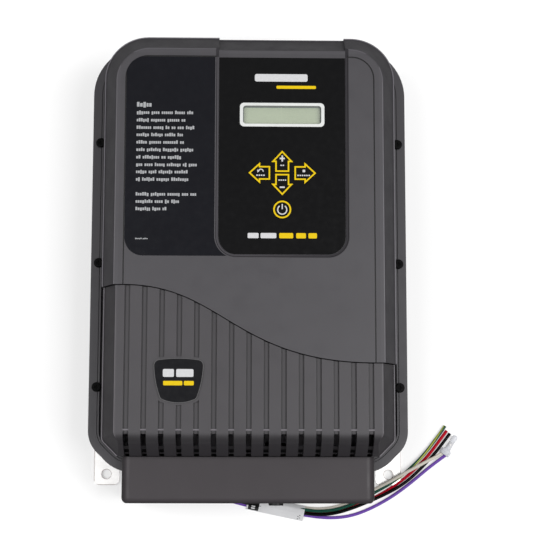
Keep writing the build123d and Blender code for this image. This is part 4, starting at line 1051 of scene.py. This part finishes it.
def circuit_board(name):
    """Green solder mask with traces, vias and tinned pads."""
    shade = Shade(name)
    mask = varied(shade, (0.006, 0.06, 0.02), 0.12, 60.0)
    across = shade.wave((170.0, 170.0, 170.0))
    gaps = shade.remap(shade.voronoi(140.0), 0.0, 1.0, 0.25, 0.3)
    traces = shade.remap(shade.both(across, gaps), 0.0, 1.0, 0.55, 0.6)
    with_traces = shade.mix(traces, mask, (0.012, 0.13, 0.045))
    pads = shade.remap(shade.voronoi(260.0), 1.0, 0.0, 0.16, 0.19)
    shade.colour(shade.mix(pads, with_traces, (0.55, 0.5, 0.42)))
    shade.mottled(120.0, 0.25, 0.4)
    shade.bump((traces, 0.03), (pads, 0.05))
    return shade


def tape_wrap(name):
    """Yellow polyester tape wound round the ring, each turn lapping the last."""
    shade = Shade(name)
    low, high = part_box("transformer")
    x = shade.maths("SUBTRACT", shade.axis("X"), (low[0] + high[0]) / 2)
    y = shade.maths("SUBTRACT", shade.axis("Y"), (low[1] + high[1]) / 2)
    angle = shade.maths("ARCTAN2", y, x)
    turns = shade.maths("FRACT", shade.both(angle, TAPE_TURNS / (2 * math.pi)))
    base = varied(shade, (0.5, 0.34, 0.03), 0.1, 90.0)
    shade.colour(shade.mix(shade.remap(turns, 0.0, 0.5, 0.8, 1.0), base, (0.2, 0.12, 0.01)))
    shade.mottled(200.0, 0.28, 0.42)
    shade.bump((turns, 0.25), (shade.noise(350.0), 0.05))
    return shade


def capacitor_sleeve(name):
    """Dark shrink sleeve with a pale polarity stripe and a bare aluminium top."""
    shade = Shade(name)
    low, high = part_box("capacitors")
    side = shade.remap(shade.axis("X"), 0.0, 1.0, low[0] + 0.0012, low[0] + 0.0014)
    body = shade.mix(side, (0.4, 0.42, 0.45), varied(shade, (0.008, 0.01, 0.02), 0.15, 100.0))
    top = shade.remap(shade.axis("Z"), 0.0, 1.0, high[2] - 0.0004, high[2] - 0.0003)
    shade.colour(shade.mix(top, body, (0.6, 0.6, 0.62)))
    shade.mottled(150.0, 0.25, 0.38)
    shade.bump((shade.noise(500.0), 0.03), edge=0.4)
    return shade


def glass_fuse(name):
    """Clear tube with its wire and nickel caps at both ends."""
    shade = Shade(name)
    low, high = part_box("fuse")
    middle = (low[0] + high[0]) / 2
    away = shade.maths("ABSOLUTE", shade.maths("SUBTRACT", shade.axis("X"), middle))
    cap = shade.remap(away, 0.0, 1.0, 0.0098, 0.0100)
    line_y = shade.maths("ABSOLUTE", shade.maths("SUBTRACT", shade.axis("Y"), (low[1] + high[1]) / 2))
    wire = shade.remap(line_y, 1.0, 0.0, 0.0003, 0.0005)
    tube = shade.mix(wire, varied(shade, (0.5, 0.56, 0.55), 0.06, 200.0), (0.25, 0.24, 0.22))
    shade.colour(shade.mix(cap, tube, (0.6, 0.58, 0.54)))
    shade.mottled(400.0, 0.1, 0.22)
    shade.bump((cap, 0.2))
    return shade


def flat_ribbon(name):
    """Grey ribbon cable: one ridge per conductor and a red edge."""
    shade = Shade(name)
    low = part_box("ribbon_cable")[0]
    ridges = shade.wave((waves_per_metre(RIBBON_PITCH), 1.0, 1.0))
    edge = shade.remap(shade.axis("X"), 1.0, 0.0, low[0] + 0.0012, low[0] + 0.0014)
    grey = varied(shade, (0.2, 0.2, 0.21), 0.06, 150.0)
    wires = shade.mix(shade.remap(ridges, 0.0, 0.5), grey, (0.12, 0.12, 0.13))
    shade.colour(shade.mix(edge, wires, (0.4, 0.02, 0.02)))
    shade.mottled(200.0, 0.4, 0.55)
    shade.bump((ridges, 0.3))
    return shade


def display_glass(name):
    """Grey-green reflective display with the faint cells of its two lines."""
    shade = Shade(name)
    base = varied(shade, (0.285, 0.33, 0.215), 0.03, 25.0, 2.0)
    across = shade.wave((waves_per_metre(CELL_PITCH[0]), 1.0, 1.0))
    along = shade.wave((1.0, waves_per_metre(CELL_PITCH[1]), 1.0), "Y")
    cells = shade.both(*(shade.remap(lines, 0.0, 1.0, 0.1, 0.25) for lines in (across, along)))
    shade.colour(shade.mix(shade.remap(cells, 0.0, 0.07), base, (0.2, 0.24, 0.16)))
    shade.mottled(700.0, 0.3, 0.4)
    shade.bump((cells, 0.01), (shade.noise(1500.0), 0.004))
    return shade


def bracket_sheet(name):
    """Bright zinc sheet with a thin grey line of painted shade along its sheared edges and round its ear
    holes.
    """
    shade = metal(name, (0.9, 0.89, 0.88), 0.42, (60.0, 1800.0, 1800.0), 0.006, 0.75, 0.2)
    sheet = shade.bsdf.inputs["Base Color"].links[0].from_socket
    across = shade.maths("ABSOLUTE", shade.axis("X"))
    side = shade.remap(across, 0.0, 1.0, *SHEET_SIDE)
    foot = shade.remap(shade.axis("Y"), 1.0, 0.0, *SHEET_FOOT)
    u = shade.maths("SUBTRACT", across, EAR_HOLE[0])
    v = shade.maths("SUBTRACT", shade.axis("Y"), EAR_HOLE[1])
    reach = shade.maths("SQRT", shade.maths("ADD", shade.both(u, u), shade.both(v, v)))
    ring = shade.remap(reach, 1.0, 0.0, *EAR_RING)
    # painted shade: grey lines along the outer edges and round the ear holes
    lines = shade.either(shade.either(side, foot), ring)
    shade.colour(shade.mix(lines, sheet, (0.46, 0.43, 0.42)))
    return shade


def foam_rubber(name):
    shade = Shade(name)
    cells = shade.voronoi(900.0)
    shade.colour(shade.mix(cells, (0.006, 0.006, 0.006), (0.02, 0.02, 0.021)))
    shade.mottled(200.0, 0.75, 0.9)
    shade.bump((cells, 0.12), edge=0.3)
    return shade


def fibre_sheet(name):
    shade = Shade(name)
    fibres = shade.noise((250.0, 250.0, 1600.0), 5.0, 0.7)
    shade.colour(shade.mix(fibres, (0.2, 0.19, 0.16), (0.33, 0.31, 0.26)))
    shade.rough(shade.remap(fibres, 0.6, 0.8))
    shade.bump((fibres, 0.05))
    return shade


def clear_lens(name):
    """Clear window: a thin see-through sheen with a faint haze."""
    shade = Shade(name).set(Alpha=0.1)
    shade.colour(varied(shade, (0.75, 0.8, 0.76), 0.03, 90.0))
    shade.mottled(260.0, 0.04, 0.1)
    return shade


def translucent_nylon(name):
    """Milky nylon that lets what it holds show through."""
    shade = Shade(name).set(Alpha=0.55, Subsurface_Weight=0.25)
    shade.bsdf.inputs["Subsurface Radius"].default_value = (0.002, 0.002, 0.002)
    shade.colour(varied(shade, (0.66, 0.67, 0.71), 0.06, 200.0))
    shade.mottled(300.0, 0.22, 0.36)
    shade.bump((shade.noise(500.0, 2.0), 0.04))
    return shade


def glossy(name, base, roughness=0.12, drift=30.0, sheen=0.25):
    """A glossy moulded or filmed surface."""
    shade = Shade(name).set(Specular_IOR_Level=sheen)
    shade.colour(varied(shade, base, 0.08, drift))
    shade.mottled(180.0, roughness - 0.03, roughness + 0.05, 4.0, MIDDLE)
    shade.bump((shade.noise(40.0, 2.0), 0.008), (shade.noise(1800.0, 2.0), 0.002), edge=0.25)
    return shade


def paint_nodes():
    """Every CAD node that stays gets its own procedural finish."""
    case = (0.0415, 0.0392, 0.0441)
    paint(moulded_plastic("case_plastic", case, detail=face_detail, lifted=channel_rim), "front_housing")
    paint(moulded_plastic("tub_plastic", [c * 0.95 for c in case], detail=painted_well_light), "rear_housing")
    paint(moulded_plastic("cover_plastic", (0.0390, 0.0360, 0.0402), detail=cover_detail), "access_cover")
    paint(moulded_plastic("hood_plastic", (0.0398, 0.0352, 0.0385), sheen=0.2), "bottom_hood")
    paint(bracket_sheet("bracket_sheet"), "wall_bracket")
    zinc = metal("zinc_plate", (0.55, 0.56, 0.55), 0.32, (900.0, 900.0, 900.0), 0.01)
    paint(zinc, "bracket_screws", "hood_screws", "ui_screws", "board_screws", "terminal_screws",
          "ground_screws")
    passivated = metal("passivated_zinc", (0.56, 0.5, 0.3), 0.35, (300.0, 300.0, 300.0), 0.01)
    paint(passivated, "transformer_washer", "transformer_bolt")
    oxide = metal("black_oxide", (0.003, 0.003, 0.0033), 0.5, (800.0, 800.0, 800.0), 0.01, 0.0, 0.15)
    paint(oxide.set(Specular_IOR_Level=0.06), "cover_screws")
    paint(glossy("badge_gloss", (0.006, 0.006, 0.0075), 0.2), "badge")
    keys = ["key_" + name for name in ("up", "down", "back", "select", "power")]
    paint(glossy("overlay_film", (0.0028, 0.0028, 0.0032), 0.16), "keypad_overlay", *keys)
    paint(glossy("bezel_white", (0.6, 0.61, 0.6), 0.3), "display_bezel")
    paint(clear_lens("display_lens"), "display_window")
    board = circuit_board("board_mask")
    paint(board, "display_module", "ui_board", "power_board")
    black = moulded_plastic("component_black", (0.012, 0.012, 0.013), 0.4, 1200.0, 0.01, 0.25)
    paint(black, "tactile_switches", "power_transistors", "bridge_rectifier", "fuse_holder", "terminal_block")
    nylon = moulded_plastic("black_nylon", (0.008, 0.008, 0.0085), 0.32, 900.0, 0.008, 0.35)
    paint(nylon, "wire_bushing", "outlet_gland", "gland_locknut", "conduit_plug")
    paint(tape_wrap("yellow_tape"), "transformer")
    paint(foam_rubber("black_foam"), "transformer_pads", "housing_gasket")
    brass = metal("brass", (0.6, 0.42, 0.16), 0.28, (100.0, 1500.0, 100.0), 0.006, 1.0, 0.2)
    paint(brass, "board_standoffs", "ground_bar")
    paint(metal("extruded_aluminium", (0.5, 0.51, 0.53), 0.38, (1500.0, 40.0, 1500.0), 0.01), "heat_sink")
    paint(moulded_plastic("relay_blue", (0.01, 0.03, 0.14), 0.28, 900.0, 0.006, 0.4), "relays")
    paint(capacitor_sleeve("capacitor_can"), "capacitors")
    paint(glass_fuse("glass_fuse"), "fuse")
    paint(flat_ribbon("ribbon_grey"), "ribbon_cable")
    paint(fibre_sheet("fibre_sheet"), "partition")
    return black


# ---- floor ----
def add_floor():
    """Plain pale studio floor."""
    half, low = 4.0, -0.0002
    mesh = bpy.data.meshes.new("studio_floor")
    corners = [(-half, -half, low), (half, -half, low), (half, half, low), (-half, half, low)]
    mesh.from_pydata(corners, [], [[0, 1, 2, 3]])
    shade = Shade("studio_floor")
    shade.colour(varied(shade, (0.55, 0.55, 0.55), 0.01, 3.0))
    shade.set(Roughness=0.9, Emission_Color=(1.0, 1.0, 1.0, 1.0), Emission_Strength=0.45)
    mesh.materials.append(shade.material)
    floor = bpy.data.objects.new("studio_floor", mesh)
    bpy.context.scene.collection.objects.link(floor)


add_camera()
bpy.context.scene.view_settings.view_transform = "Standard"
wires = add_wires()
white_film = glossy("sleeve_white", (0.65, 0.65, 0.665), 0.3)
sleeve = add_sleeve(white_film, ink("sleeve_black", (0.004, 0.004, 0.004)))
connector = add_connector(translucent_nylon("crimp_nylon"), metal("crimp_ferrule", (0.6, 0.56, 0.5), 0.3))

black_parts = paint_nodes()
white_ink = ink("white_ink", (0.5, 0.5, 0.51))
grey_ink = ink("notice_ink", (0.31, 0.315, 0.325))
yellow_ink = ink("yellow_ink", (0.62, 0.43, 0.0))
add_notice(glossy("notice_film", (0.0058, 0.006, 0.0085), 0.17), grey_ink)
add_key_print(yellow_ink, white_ink)
add_overlay_marks(white_ink, yellow_ink)
add_badge_print(white_ink, yellow_ink, ink("badge_rim", (0.09, 0.088, 0.09)))
add_display(display_glass("lcd_glass"), black_parts)

add_floor()
add_world()
for name, (place, size, power) in SOFTBOXES.items():
    add_softbox(name, place, size, power)
